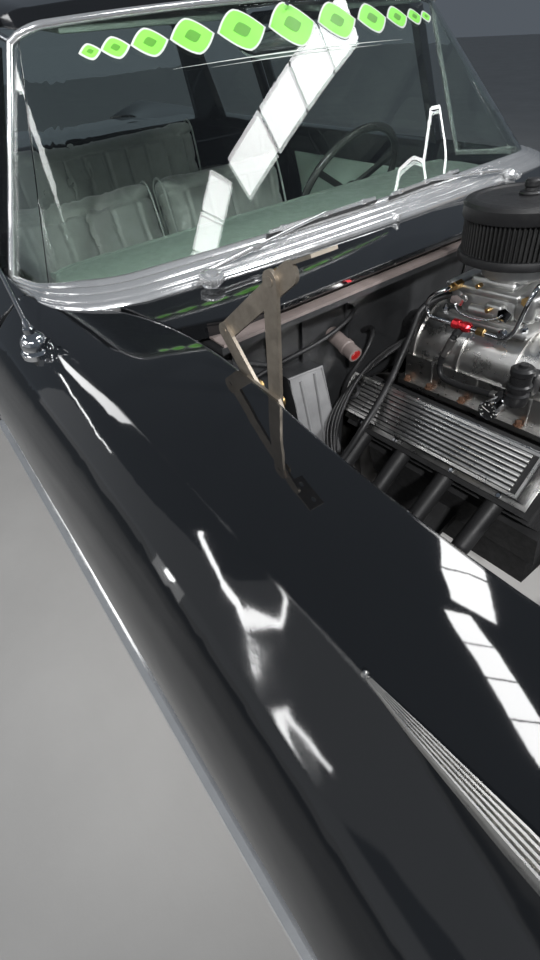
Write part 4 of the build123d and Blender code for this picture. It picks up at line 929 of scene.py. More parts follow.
class HOTROD_OT_carburettor(bpy.types.Operator):
    """Cast carburettor with its float bowls, screws, fuel inlets and levers"""
    bl_idname = "hotrod.carburettor"
    bl_label = "Carburettor"

    def execute(self, context):
        centre = 0.225
        cast = [
            block((centre - .104, -.079, .4075), (centre + .104, .079, .419), 0.004),
            block((centre - .080, -.070, .419), (centre + .080, .070, .427), 0.003),
            block((centre - .060, -.062, .427), (centre + .060, .062, .470), 0.008, 3),
            block((centre - .066, -.068, .466), (centre + .066, .068, .482), 0.006, 3),
            block((centre - .050, -.056, .480), (centre + .050, .056, .500), 0.010, 3),
        ]
        for sign in (-1, 1):
            x0, x1 = sorted((centre + sign * 0.058, centre + sign * 0.099))
            cast.append(block((x0, -.062, .431), (x1, .062, .484), 0.009, 3))
            x2, x3 = sorted((centre + sign * 0.090, centre + sign * 0.101))
            cast.append(block((x2, -.054, .437), (x3, .054, .478), 0.005))
            for y in (-0.05, -0.017, 0.017, 0.05):
                for z in (0.443, 0.472):
                    cast.append(drum((centre + sign * 0.099, y, z), (centre + sign * 0.1055, y, z), 0.0045, 0.0008,
                                     10))
        cast.append(turned(((0.058, 0.496), (0.061, 0.500), (0.060, 0.520), (0.066, 0.526), (0.066, 0.532)),
                           moved(0.235), 48))
        for y in (-0.071, 0.071):
            cast.append(drum((centre - .03, y, .440), (centre + .03, y, .440), 0.010, 0.002, 20))
            cast.append(drum((centre - .045, y, .458), (centre - .045, y * 1.09, .458), 0.008, 0.001, 16))
        cast.append(block((centre + .005, -.080, .428), (centre + .043, -.060, .462), 0.007, 3))
        body = joined("carburettor_castings", in_engine(cast), "cast_alloy", smooth=30)
        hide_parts("carburettor")
        brass = [
            drum((0.159, -0.060, 0.480), (0.159, -0.084, 0.480), 0.0095, 0.001, 6),
            drum((0.159, -0.084, 0.480), (0.159, -0.096, 0.480), 0.0075, 0.001, 6),
            drum((0.300, -0.046, 0.470), (0.304, -0.064, 0.474), 0.0095, 0.001, 6),
            drum((centre + .02, -.080, .452), (centre + .02, -.092, .452), 0.005, 0.001, 10),
            drum((centre - .015, -.068, .489), (centre - .015, -.082, .489), 0.005, 0.001, 10),
            drum((0.245, -0.112, 0.4187), (0.262, -0.112, 0.4184), 0.0085, 0.001, 6),
            drum((centre - .02, -.030, .502), (centre - .02, -.030, .512), 0.004, 0.001, 10),
        ]
        joined("carburettor_brass", in_engine(brass), "brass", smooth=30)
        links = [rod(((centre - 0.055, -0.086, 0.455), (centre - 0.055, -0.092, 0.432),
                      (centre + 0.035, -0.092, 0.43), (centre + 0.05, -0.084, 0.448)), 0.0022, "NURBS"),
                 plate(((-0.012, -0.006), (0.016, -0.008), (0.02, 0.004), (0.004, 0.012), (-0.01, 0.008)), 0.0025,
                       moved(centre - 0.055, -0.086, 0.455) @ spun(90, "X")),
                 plate(((-0.01, -0.01), (0.01, -0.012), (0.018, 0.006), (0.004, 0.014), (-0.01, 0.008)), 0.0025,
                       moved(centre + 0.05, -0.082, 0.448) @ spun(90, "X"))]
        for x, y in ((centre - .09, -.066), (centre + .09, -.066), (centre - .09, .066), (centre + .09, .066)):
            links.append(turned(((0.007, 0.419), (0.007, 0.4255), (0.0045, 0.428), (0.0035, 0.434),
                                 (0.001, 0.4345)), moved(x, y), 6))
        joined("carburettor_linkage", in_engine(links), "chrome", smooth=30)
        return {"FINISHED"}


class HOTROD_OT_supercharger(bpy.types.Operator):
    """Bolts, end covers and ribs on the supercharger"""
    bl_idname = "hotrod.supercharger"
    bl_label = "Supercharger details"

    def execute(self, context):
        bolts = []
        bright = []
        for y in (-0.1135, 0.1135):
            for x in (0.085, 0.148, 0.237, 0.30, 0.372, 0.435):
                bolts.append(turned(((0.0095, 0.2515), (0.0095, 0.254), (0.0065, 0.2545), (0.0065, 0.262),
                                     (0.002, 0.263)), moved(x, y), 6))
        for end, sign in ((0.070, -1), (0.450, 1)):
            for number in range(10):
                angle = math.radians(number * 36 + 18)
                y, z = 0.084 * math.sin(angle), 0.314 + 0.084 * math.cos(angle)
                bright.append(drum((end, y, z), (end + sign * 0.006, y, z), 0.0055, 0.001, 6))
        bright.append(turned(((0.072, 0), (0.072, 0.005), (0.06, 0.009), (0.035, 0.01), (0.03, 0.013),
                              (0.01, 0.0135)), along((0.0705, 0, 0.314), (0, 0, 0.314)), 48))
        for x in (0.145, 0.26, 0.38):
            bright.append(block((x - 0.0035, -0.107, 0.252), (x + 0.0035, 0.107, 0.314), 0.0015))
        joined("supercharger_bolts", in_engine(bolts), "rusty_steel", smooth=30)
        joined("supercharger_covers", in_engine(bright), "polished_alloy", smooth=30)
        return {"FINISHED"}


class HOTROD_OT_hoses(bpy.types.Operator):
    """Fuel pipe with its fittings, the hose, regulator and gauge, and the breather hose"""
    bl_idname = "hotrod.hoses"
    bl_label = "Hoses and fuel line"

    def execute(self, context):
        sizes = context.scene.hot_rod_sizes
        pipe = rod(mm(((159, -92, 480), (159, -113, 482), (118, -113, 458), (122, -112, 419), (160, -112, 419),
                       (262, -112, 418), (318, -113, 416), (330, -106, 495), (336, -80, 528), (300, -50, 470))),
                   sizes.fuel_pipe, "NURBS")
        nut = drum((0.292, -0.112, 0.4215), (0.302, -0.112, 0.432), 0.0075, 0.001, 6)
        chrome = joined("fuel_pipe", in_engine([pipe, nut]), "chrome")
        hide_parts("engine_hoses")
        red = turned(((0.006, 0), (0.0085, 0.002), (0.0105, 0.004), (0.0105, 0.018), (0.0085, 0.02),
                      (0.0085, 0.026), (0.0105, 0.028), (0.0105, 0.04), (0.008, 0.044)),
                     along((0.186, -0.112, 0.4206), (0.286, -0.112, 0.418)), 10)
        joined("fuel_fitting_red", in_engine([red]), "red_anodised", smooth=30)
        dark = [turned(((0.0095, 0), (0.0095, 0.014), (0.0075, 0.016), (0.0075, 0.022)),
                       along((0.206, -0.112, 0.412), (0.197, -0.123, 0.389)), 8),
                rod(mm(((206, -112, 414), (194, -126, 379), (176, -128, 326), (196, -132, 298), (290, -136, 308),
                        (356, -146, 322))), sizes.fuel_hose, "NURBS")]
        joined("fuel_hose", in_engine(dark), "hose_rubber")
        sleeve = drum((0.199, -0.1205, 0.392), (0.187, -0.1275, 0.352), 0.0088, 0.0015, 20)
        clip = drum((0.330, -0.1415, 0.3165), (0.316, -0.139, 0.3145), 0.0084, 0.001, 20)
        collars = drum((0.356, -0.146, 0.322), (0.342, -0.143, 0.3185), 0.0098, 0.001, 6)
        joined("fuel_hose_sleeve", in_engine((sleeve, clip, collars)), "steel")
        x, y = 0.372, -0.150
        regulator = turned(((0.016, 0.320), (0.020, 0.323), (0.0215, 0.328), (0.0215, 0.344), (0.017, 0.347),
                            (0.017, 0.352), (0.0225, 0.355), (0.0225, 0.363), (0.019, 0.366), (0.019, 0.382),
                            (0.0215, 0.385), (0.0215, 0.394), (0.017, 0.398), (0.009, 0.399), (0.0085, 0.404),
                            (0.004, 0.405)), moved(x, y), 36)
        bracket = block((x - 0.018, -0.134, 0.332), (x + 0.018, -0.104, 0.378), 0.003)
        port = drum((0.350, y, 0.336), (0.3395, y, 0.326), 0.0085, 0.001, 8)
        joined("fuel_regulator", in_engine((regulator, bracket, port)), "satin_plastic", smooth=30)
        can = turned(((0.01, 0.0), (0.017, 0.001), (0.0185, 0.004), (0.0185, 0.03), (0.02, 0.032), (0.02, 0.037),
                      (0.0178, 0.038), (0.0172, 0.0355)), along((0.341, -0.149, 0.307), (0.341, -0.3, 0.307)), 48)
        stem = drum((0.341, -0.150, 0.307), (0.358, -0.150, 0.326), 0.0068, 0.001, 12)
        joined("fuel_gauge_case", in_engine((can, stem)), "chrome", smooth=30)
        face = turned(((0.0172, 0.0345), (0.0172, 0.0355), (0.001, 0.0356)),
                      along((0.341, -0.149, 0.307), (0.341, -0.3, 0.307)), 48)
        joined("fuel_gauge_face", [settled(face, ENGINE)], "satin_plastic", smooth=30)
        marks = []
        for number in range(9):
            angle = math.radians(-135 + number * 33.75)
            spot = Matrix.Translation((0.341, -0.1848, 0.307)) @ Matrix.Rotation(angle, 4, "Y")
            marks.append(settled(block((-0.0007, -0.0004, 0.0118), (0.0007, 0.0004, 0.0155)), spot))
        needle = settled(block((-0.0006, -0.0005, -0.004), (0.0006, 0.0005, 0.0125)),
                         Matrix.Translation((0.341, -0.1850, 0.307)) @ spun(-70, "Y"))
        joined("fuel_gauge_marks", in_engine(marks + [needle]), "white_marks", smooth=30)
        breather = rod(((1.066, -.060, .903), (1.036, -.112, .892), (1.040, -.135, .836), (1.045, -.180, .766),
                        (1.064, -.236, .732), (1.078, -.305, .686), (1.067, -.355, .610), (1.048, -.405, .545),
                        (1.034, -.450, .500)), sizes.breather_hose, "NURBS")
        joined("breather_hose", [breather], "hose_rubber")
        return {"FINISHED"}


class HOTROD_OT_hood_hinges(bpy.types.Operator):
    """Pivot bolts and washers of the raised hood hinges"""
    bl_idname = "hotrod.hood_hinges"
    bl_label = "Hood hinge bolts"

    def execute(self, context):
        for side, name in SIDES:
            y = 0.6424 * side
            pieces = []
            for x, z, reach in ((1.090, 1.032, 0.019), (1.209, 1.135, 0.019), (1.155, 0.968, 0.013),
                                (1.203, 0.966, 0.013)):
                pieces.append(turned(((0.011, 0), (0.0115, 0.001), (0.0115, 0.003), (0.0085, 0.0035),
                                      (0.008, 0.007), (0.005, 0.0085), (0.001, 0.0087)),
                                     along((x, y - side * (reach - 0.002), z), (x, y - side, z)), 24))
            joined("hood_hinge_bolts_" + name, pieces, "brass", smooth=30)
        return {"FINISHED"}


def on_shield(across, down, proud=0.0008):
    """A point of the windshield's front by its share across the glass and its way down from the head"""
    share = down / 0.531
    p = across * across
    head = Vector((0.432 - 0.024 * p, 0.536 * across, 1.386 - 0.0144 * p))
    foot = Vector((0.797 - 0.022 * p, 0.600 * across, 1.0 - 0.0026 * p))
    return head.lerp(foot, share) + Vector((0.725, 0.03 * across, 0.687)) * proud


def sticker(rows, proud):
    """A thin coloured patch on the windshield, from rows of way across, top and bottom"""
    fresh()
    bpy.ops.mesh.primitive_grid_add(x_subdivisions=len(rows) - 1, y_subdivisions=1, size=2)
    piece = bpy.context.object
    columns = sorted({round(corner.co.x, 5) for corner in piece.data.vertices})
    for corner in piece.data.vertices:
        across, top, bottom = rows[columns.index(round(corner.co.x, 5))]
        corner.co = on_shield(across, bottom if corner.co.y < 0 else top, proud)
    modified(piece, "SOLIDIFY", thickness=0.0003, offset=1.0)
    return piece


def lozenge(middle, level, half_width, half_height, grow=0.0):
    """Rows of a pointed oval patch"""
    rows = []
    for step in range(-6, 7):
        share = step / 6
        high = (half_height + grow) * (1 - abs(share) ** 1.6)
        rows.append((middle + share * (half_width + grow * 2.4), level - high, level + high))
    return rows


class HOTROD_OT_banner(bpy.types.Operator):
    """Row of green ovals with pale edges and pinstripes across the windshield's head"""
    bl_idname = "hotrod.banner"
    bl_label = "Windshield banner"

    def execute(self, context):
        ovals = ((0.0, 0.122, 0.078), (0.258, 0.112, 0.068), (0.485, 0.092, 0.056), (0.665, 0.070, 0.042),
                 (0.800, 0.050, 0.030), (0.895, 0.034, 0.020))
        pale, green, deep = [], [], []
        for across, wide, high in ovals:
            for sign in ((1,) if across == 0 else (1, -1)):
                pale.append(sticker(lozenge(sign * across, 0.068, wide / 1.05, high / 1.6, 0.0045), 0.0006))
                green.append(sticker(lozenge(sign * across, 0.068, wide / 1.05, high / 1.6), 0.0012))
                deep.append(sticker(lozenge(sign * across, 0.068, wide / 2.6, high / 4.2), 0.0018))
        for low, end, thick in ((0.128, 0.62, 0.0016), (0.137, 0.46, 0.0011)):
            for sign in (1, -1):
                rows = [(sign * end * n / 12, low - thick * (1 - n / 13), low + thick * (1 - n / 13))
                        for n in range(13)]
                pale.append(sticker(rows if sign > 0 else rows[::-1], 0.0006))
        joined("banner_edges", pale, "banner_white", smooth=60)
        joined("banner_ovals", green, "banner_green", smooth=60)
        joined("banner_hearts", deep, "banner_deep_green", smooth=60)
        return {"FINISHED"}


class HOTROD_OT_cabin(bpy.types.Operator):
    """Dashboard pad and gauges, mirror, sun visors, pedals, gear lever and door cards"""
    bl_idname = "hotrod.cabin"
    bl_label = "Cabin details"

    def execute(self, context):
        half = [(0.735, 0.0), (0.735, 0.3), (0.722, 0.56), (0.694, 0.655), (0.6, 0.705), (0.5, 0.715),
                (0.425, 0.7), (0.405, 0.62), (0.402, 0.3)]
        outline = half + [(0.402, 0.0)] + [(x, -y) for x, y in reversed(half[1:])]
        pad = plate(outline, 0.026, moved(0, 0, 0.934))
        eased(pad, 0.011, 4)
        nose = rod([(x, y, 0.942) for x, y in half[6:]] + [(x, -y, 0.942) for x, y in reversed(half[6:])], 0.019)
        joined("dashboard_pad", [pad, nose], "dash_pad", smooth=50)
        hood = turned(((0.118, 0), (0.122, 0.004), (0.122, 0.016), (0.110, 0.016), (0.106, 0.006), (0.02, 0.005)),
                      along((0.603, 0.38, 0.84), (0.0, 0.38, 0.84)), 56)
        dials = [hood]
        for y in (0.19, 0.57):
            dials.append(turned(((0.045, 0), (0.047, 0.003), (0.047, 0.011), (0.041, 0.011), (0.039, 0.005),
                                 (0.01, 0.004)), along((0.603, y, 0.84), (0.0, y, 0.84)), 36))
        for y, z in ((0.10, 0.86), (0.03, 0.86), (-0.04, 0.86), (0.10, 0.79), (0.03, 0.79)):
            dials.append(turned(((0.012, 0), (0.012, 0.006), (0.009, 0.010), (0.009, 0.022), (0.006, 0.025)),
                                along((0.604, y, z), (0.0, y, z)), 20))
        strip = block((0.596, -0.66, 0.764), (0.604, 0.66, 0.775), 0.003)
        joined("dashboard_dials", dials + [strip], "chrome")
        faces = []
        for y, radius in ((0.38, 0.104), (0.19, 0.039), (0.57, 0.039)):
            faces.append(turned(((radius, 0.0), (radius, 0.0062), (0.002, 0.0064)),
                                along((0.603, y, 0.84), (0.0, y, 0.84)), 40))
        glovebox = block((0.5975, -0.56, 0.79), (0.6035, -0.22, 0.885), 0.004)
        joined("dashboard_faces", faces, "satin_plastic")
        joined("glovebox_lid", [glovebox], "dash_paint")
        stalk = rod(((0.462, 0, 1.372), (0.435, 0, 1.345), (0.415, 0, 1.318)), 0.005, "NURBS")
        shell = plate([(0.105 * math.cos(a) * (1 - 0.12 * abs(math.sin(a))), 0.027 * math.sin(a))
                       for a in (math.tau * n / 36 for n in range(36))], 0.012,
                      moved(0.412, 0, 1.302) @ spun(-78, "Y") @ spun(90), 0.004)
        joined("rear_view_mirror", [stalk, shell], "chrome")
        visors = [block((0.27, side * 0.33 - 0.19, 1.352), (0.41, side * 0.33 + 0.19, 1.364), 0.005)
                  for side in (1, -1)]
        visors = [settled(piece, moved(0.41, 0, 1.36) @ spun(5, "Y") @ moved(-0.41, 0, -1.36)) for piece in visors]
        joined("sun_visors", visors, "dash_pad")
        pedals = []
        for y, near, far, z, high in ((0.30, 0.31, 0.38, 0.47, 0.05), (0.20, 0.255, 0.285, 0.44, 0.085),
                                      (0.42, 0.40, 0.46, 0.47, 0.085)):
            pedals.append(block((0.742, near, z), (0.752, far, z + high), 0.004))
            pedals.append(rod(((0.75, y, z + 0.03), (0.80, y, 0.62), (0.84, y, 0.72)), 0.006, "NURBS"))
        joined("pedals", pedals, "hose_rubber")
        lever = rod(((0.20, 0, 0.452), (0.235, 0, 0.60), (0.16, 0, 0.72)), 0.0075, "NURBS")
        boot = turned(((0.062, 0), (0.066, 0.006), (0.058, 0.012), (0.04, 0.02), (0.046, 0.028), (0.03, 0.04),
                       (0.012, 0.048)), moved(0.205, 0, 0.452), 32)
        knob = turned(((0.006, -0.012), (0.016, -0.008), (0.0235, 0.004), (0.0235, 0.016), (0.016, 0.028),
                       (0.004, 0.031)), along((0.16, 0, 0.72), (0.125, 0, 0.775)), 28)
        joined("gear_lever", [lever, knob], "chrome")
        section = ((0.016, 0.5), (0.016, 0.645), (0.003, 0.75), (-0.023, 0.85), (-0.035, 0.895), (-0.03, 0.897),
                   (-0.016, 0.85), (0.01, 0.75), (0.0225, 0.645), (0.0225, 0.5))
        card = [swept(((-0.47, -0.80, 0), (0.47, -0.80, 0)), section[::-1]),
                block((-0.30, -0.818, 0.655), (0.16, -0.762, 0.700), 0.012, 3)]
        crank = [drum((0.27, -0.815, 0.70), (0.27, -0.792, 0.70), 0.017, 0.003),
                 rod(((0.27, -0.789, 0.70), (0.20, -0.787, 0.665)), 0.005),
                 drum((0.20, -0.789, 0.665), (0.20, -0.768, 0.665), 0.010, 0.003),
                 rod(((-0.44, -0.8205, 0.60), (0.44, -0.8205, 0.60)), 0.0055)]
        joined("door_card_left", [other_side(piece) for piece in card], "door_cloth", "door_left")
        joined("door_crank_left", [other_side(piece) for piece in crank], "chrome", "door_left")
        joined("door_card_right", card, "door_cloth", "door_right")
        joined("door_crank_right", crank, "chrome", "door_right")
        joined("gear_boot", [boot], "hose_rubber")
        return {"FINISHED"}


class HOTROD_OT_firewall(bpy.types.Operator):
    """Heater cover, cowl channel, hose stub and wiring on the firewall"""
    bl_idname = "hotrod.firewall"
    bl_label = "Firewall details"

    def execute(self, context):
        outline = ((-0.424, .799), (-0.330, .791), (-0.249, .481), (-0.330, .481), (-0.397, .670))
        stand = Matrix(((0, 0, 1, 0.9552), (1, 0, 0, 0), (0, 1, 0, 0), (0, 0, 0, 1)))
        cover = plate(outline, 0.0022, stand, 0.0008)
        folds = [rod(((0.958, -0.352, 0.785), (0.958, -0.302, 0.487)), 0.0035),
                 rod(((0.958, -0.392, 0.780), (0.958, -0.350, 0.560)), 0.003),
                 rod([(0.9575,) + p for p in outline], 0.0028, closed=True)]
        joined("heater_cover", [cover] + folds, "panel_grey")
        strip = swept([(0.9735, y, 0.9475) for y in (-0.585, 0.585)],
                      ((-0.046, -0.001), (-0.046, 0.002), (-0.026, 0.002), (-0.023, 0.0035), (-0.018, 0.0035),
                       (-0.015, 0.002), (0.008, 0.002), (0.010, 0.004), (0.016, 0.004), (0.0178, -0.001)))
        joined("cowl_channel_strip", [strip], "primer_brown")
        stub = turned(((0.0165, 0.0), (0.0165, 0.052), (0.0185, 0.054), (0.0185, 0.064), (0.0165, 0.066),
                       (0.0165, 0.092), (0.012, 0.093), (0.011, 0.086)),
                      along((0.911, -0.2611, 0.8285), (1.001, -0.2711, 0.8135)), 28)
        joined("heater_hose_stub", [stub], "primer_brown")
        cap = turned(((0.0125, 0), (0.0145, 0.001), (0.0148, 0.004), (0.0135, 0.006), (0.004, 0.0065)),
                     along((0.996, -.2705, .8143), (1.086, -.2805, .7993)), 24)
        joined("heater_stub_cap", [cap], "red_lens")
        wires = []
        for number in range(4):
            step = number * 0.018
            start = (1.000, -0.10 - step * 0.4, 0.79 - step * 0.2)
            wires.append(rod((start, (0.975 - step * 0.3, -0.19 - step, 0.77 - step),
                              (0.985 - step * 0.4, -0.3 - step * 0.6, 0.665 - step),
                              (1.02 + step * 0.8, -0.345 - step * 0.3, 0.55 - step * 0.4),
                              (1.09 + step * 3.2, -0.34, 0.515 + step)), 0.0042, "NURBS"))
        wires.append(rod(((0.913, -0.16, 0.80), (0.96, -0.17, 0.84), (0.985, -0.21, 0.80), (0.965, -0.27, 0.72),
                          (0.94, -0.24, 0.62), (0.92, -0.20, 0.60)), 0.0055, "NURBS"))
        wires.append(rod(((0.913, -0.20, 0.87), (0.95, -0.22, 0.88), (0.97, -0.33, 0.86), (0.95, -0.47, 0.84),
                          (0.925, -0.56, 0.80), (0.913, -0.58, 0.76)), 0.005, "NURBS"))
        joined("engine_wiring", wires, "hose_rubber")
        ribs = []
        for y0, z0, y1, z1 in ((-0.60, 0.90, -0.44, 0.82), (-0.60, 0.86, -0.45, 0.72), (-0.22, 0.90, -0.20, 0.70),
                               (0.60, 0.90, 0.44, 0.82), (0.22, 0.90, 0.20, 0.70)):
            ribs.append(rod(((0.9125, y0, z0), (0.9125, y1, z1)), 0.0055))
        for y in (-0.50, -0.15, 0.10, 0.30, 0.50):
            ribs.append(turned(((0.010, 0), (0.010, 0.002), (0.006, 0.0025), (0.006, 0.007), (0.002, 0.0075)),
                               along((0.911, y, 0.915), (1.0, y, 0.915)), 6))
        joined("firewall_stiffeners", ribs, "bay_paint")
        distributor = turned(((0.038, 0), (0.04, 0.004), (0.04, 0.045), (0.046, 0.048), (0.046, 0.06),
                              (0.036, 0.075), (0.012, 0.085)), ENGINE @ moved(0.028, 0, 0.29), 36)
        joined("distributor", [distributor], "satin_plastic")
        return {"FINISHED"}


class HOTROD_OT_ends(bpy.types.Operator):
    """Headlamp and tail lamp lenses, number plate, tail panels, bumper bolts, trunk handle and radiator fins"""
    bl_idname = "hotrod.ends"
    bl_label = "Front and rear details"

    def execute(self, context):
        chrome, lens, red = [], [], []
        for side in (1, -1):
            lamp = along((2.364, 0.775 * side, 0.790), (3.0, 0.775 * side, 0.790))
            lens.append(turned(((0.0885, 0.0), (0.0885, 0.003), (0.082, 0.009), (0.066, 0.015), (0.044, 0.019),
                                (0.02, 0.021), (0.002, 0.0215)), lamp, 56))
            chrome.append(turned(((0.104, -0.02), (0.107, -0.012), (0.1055, 0.004), (0.099, 0.011), (0.092, 0.012),
                                  (0.0885, 0.006), (0.088, -0.004)), lamp, 56))
            for number in range(3):
                spot = lamp @ spun(120 * number + 90)
                chrome.append(settled(block((0.0955, -0.004, 0.009), (0.1035, 0.004, 0.0135), 0.0015), spot))
            tail = along((-2.3893, 0.868 * side, 0.900), (-3.0, 0.868 * side, 0.900))
            red.append(turned(((0.0335, 0.0), (0.0335, 0.005), (0.028, 0.012), (0.016, 0.016), (0.002, 0.0172)),
                              tail, 40))
            chrome.append(turned(((0.041, -0.012), (0.0435, -0.008), (0.0435, 0.002), (0.0385, 0.008),
                                  (0.0345, 0.007), (0.0335, 0.0)), tail, 40))
        joined("headlamp_lenses", lens, "lamp_glass")
        joined("tail_lamp_lenses", red, "red_lens")
        plate_face = block((-2.3582, -0.155, 0.522), (-2.356, 0.155, 0.678), 0.004)
        plate_rim = ((-0.158, 0.519), (0.158, 0.519), (0.158, 0.681), (-0.158, 0.681))
        chrome.append(swept([(-2.359, y, z) for y, z in plate_rim],
                            ((-0.004, -0.003), (0.004, -0.003), (0.003, 0.003), (-0.003, 0.003)), closed=True))
        for y in (-0.089, 0.089):
            for z in (0.5395, 0.6605):
                chrome.append(turned(((0.006, 0), (0.006, 0.003), (0.004, 0.0042), (0.001, 0.0045)),
                                     along((-2.3582, y, z), (-3, y, z)), 12))
        joined("number_plate", [plate_face], "plate_white")
        corners = []
        for side in (1, -1):
            low, high = sorted((0.637 * side, 0.838 * side))
            corners.append(block((-2.3545, low, 0.700), (-2.3485, high, 0.938), 0.0015))
            corners.append(swept([(-2.3545, 0.645 * side, 0.712), (-2.3545, 0.645 * side, 0.928),
                                  (-2.3545, 0.828 * side, 0.928), (-2.3545, 0.828 * side, 0.712)],
                                 ((-0.003, -0.001), (0.003, -0.001), (0.002, 0.002), (-0.002, 0.002)),
                                 closed=True))
        joined("tail_corner_panels", corners, "gloss_paint")
        for y in (-0.74, -0.2, 0.2, 0.74):
            for sign, x in ((1, 2.540 - 0.14 * (y / 0.9) ** 2), (-1, -2.540 + 0.12 * (y / 0.89) ** 2)):
                chrome.append(turned(((0.014, 0), (0.014, 0.003), (0.011, 0.008), (0.005, 0.0105), (0.001, 0.011)),
                                     along((x - sign * 0.001, y, 0.46), (x + sign, y, 0.46)), 24))
        joined("lamp_and_bumper_trim", chrome, "chrome")
        handle = rod(((-2.353, -0.07, 0.775), (-2.386, -0.066, 0.775), (-2.386, 0.066, 0.775),
                      (-2.353, 0.07, 0.775)), 0.006, "NURBS")
        lock = turned(((0.013, 0), (0.013, 0.004), (0.009, 0.006), (0.003, 0.0065)),
                      along((-2.3515, 0, 0.745), (-3, 0, 0.745)), 28)
        joined("trunk_handle", [handle, lock], "chrome", "trunk_lid")
        fin = block((2.1405, -0.296, 0.4045), (2.1425, 0.296, 0.4065))
        fins = [copied(fin, moved(0, 0, number * 0.01)) for number in range(44)]
        bpy.data.objects.remove(fin)
        cap = turned(((0.022, 0), (0.034, 0.003), (0.034, 0.01), (0.026, 0.014), (0.008, 0.016)),
                     moved(2.1, 0.05, 0.898), 8)
        joined("radiator_fins", fins + [cap], "steel")
        return {"FINISHED"}


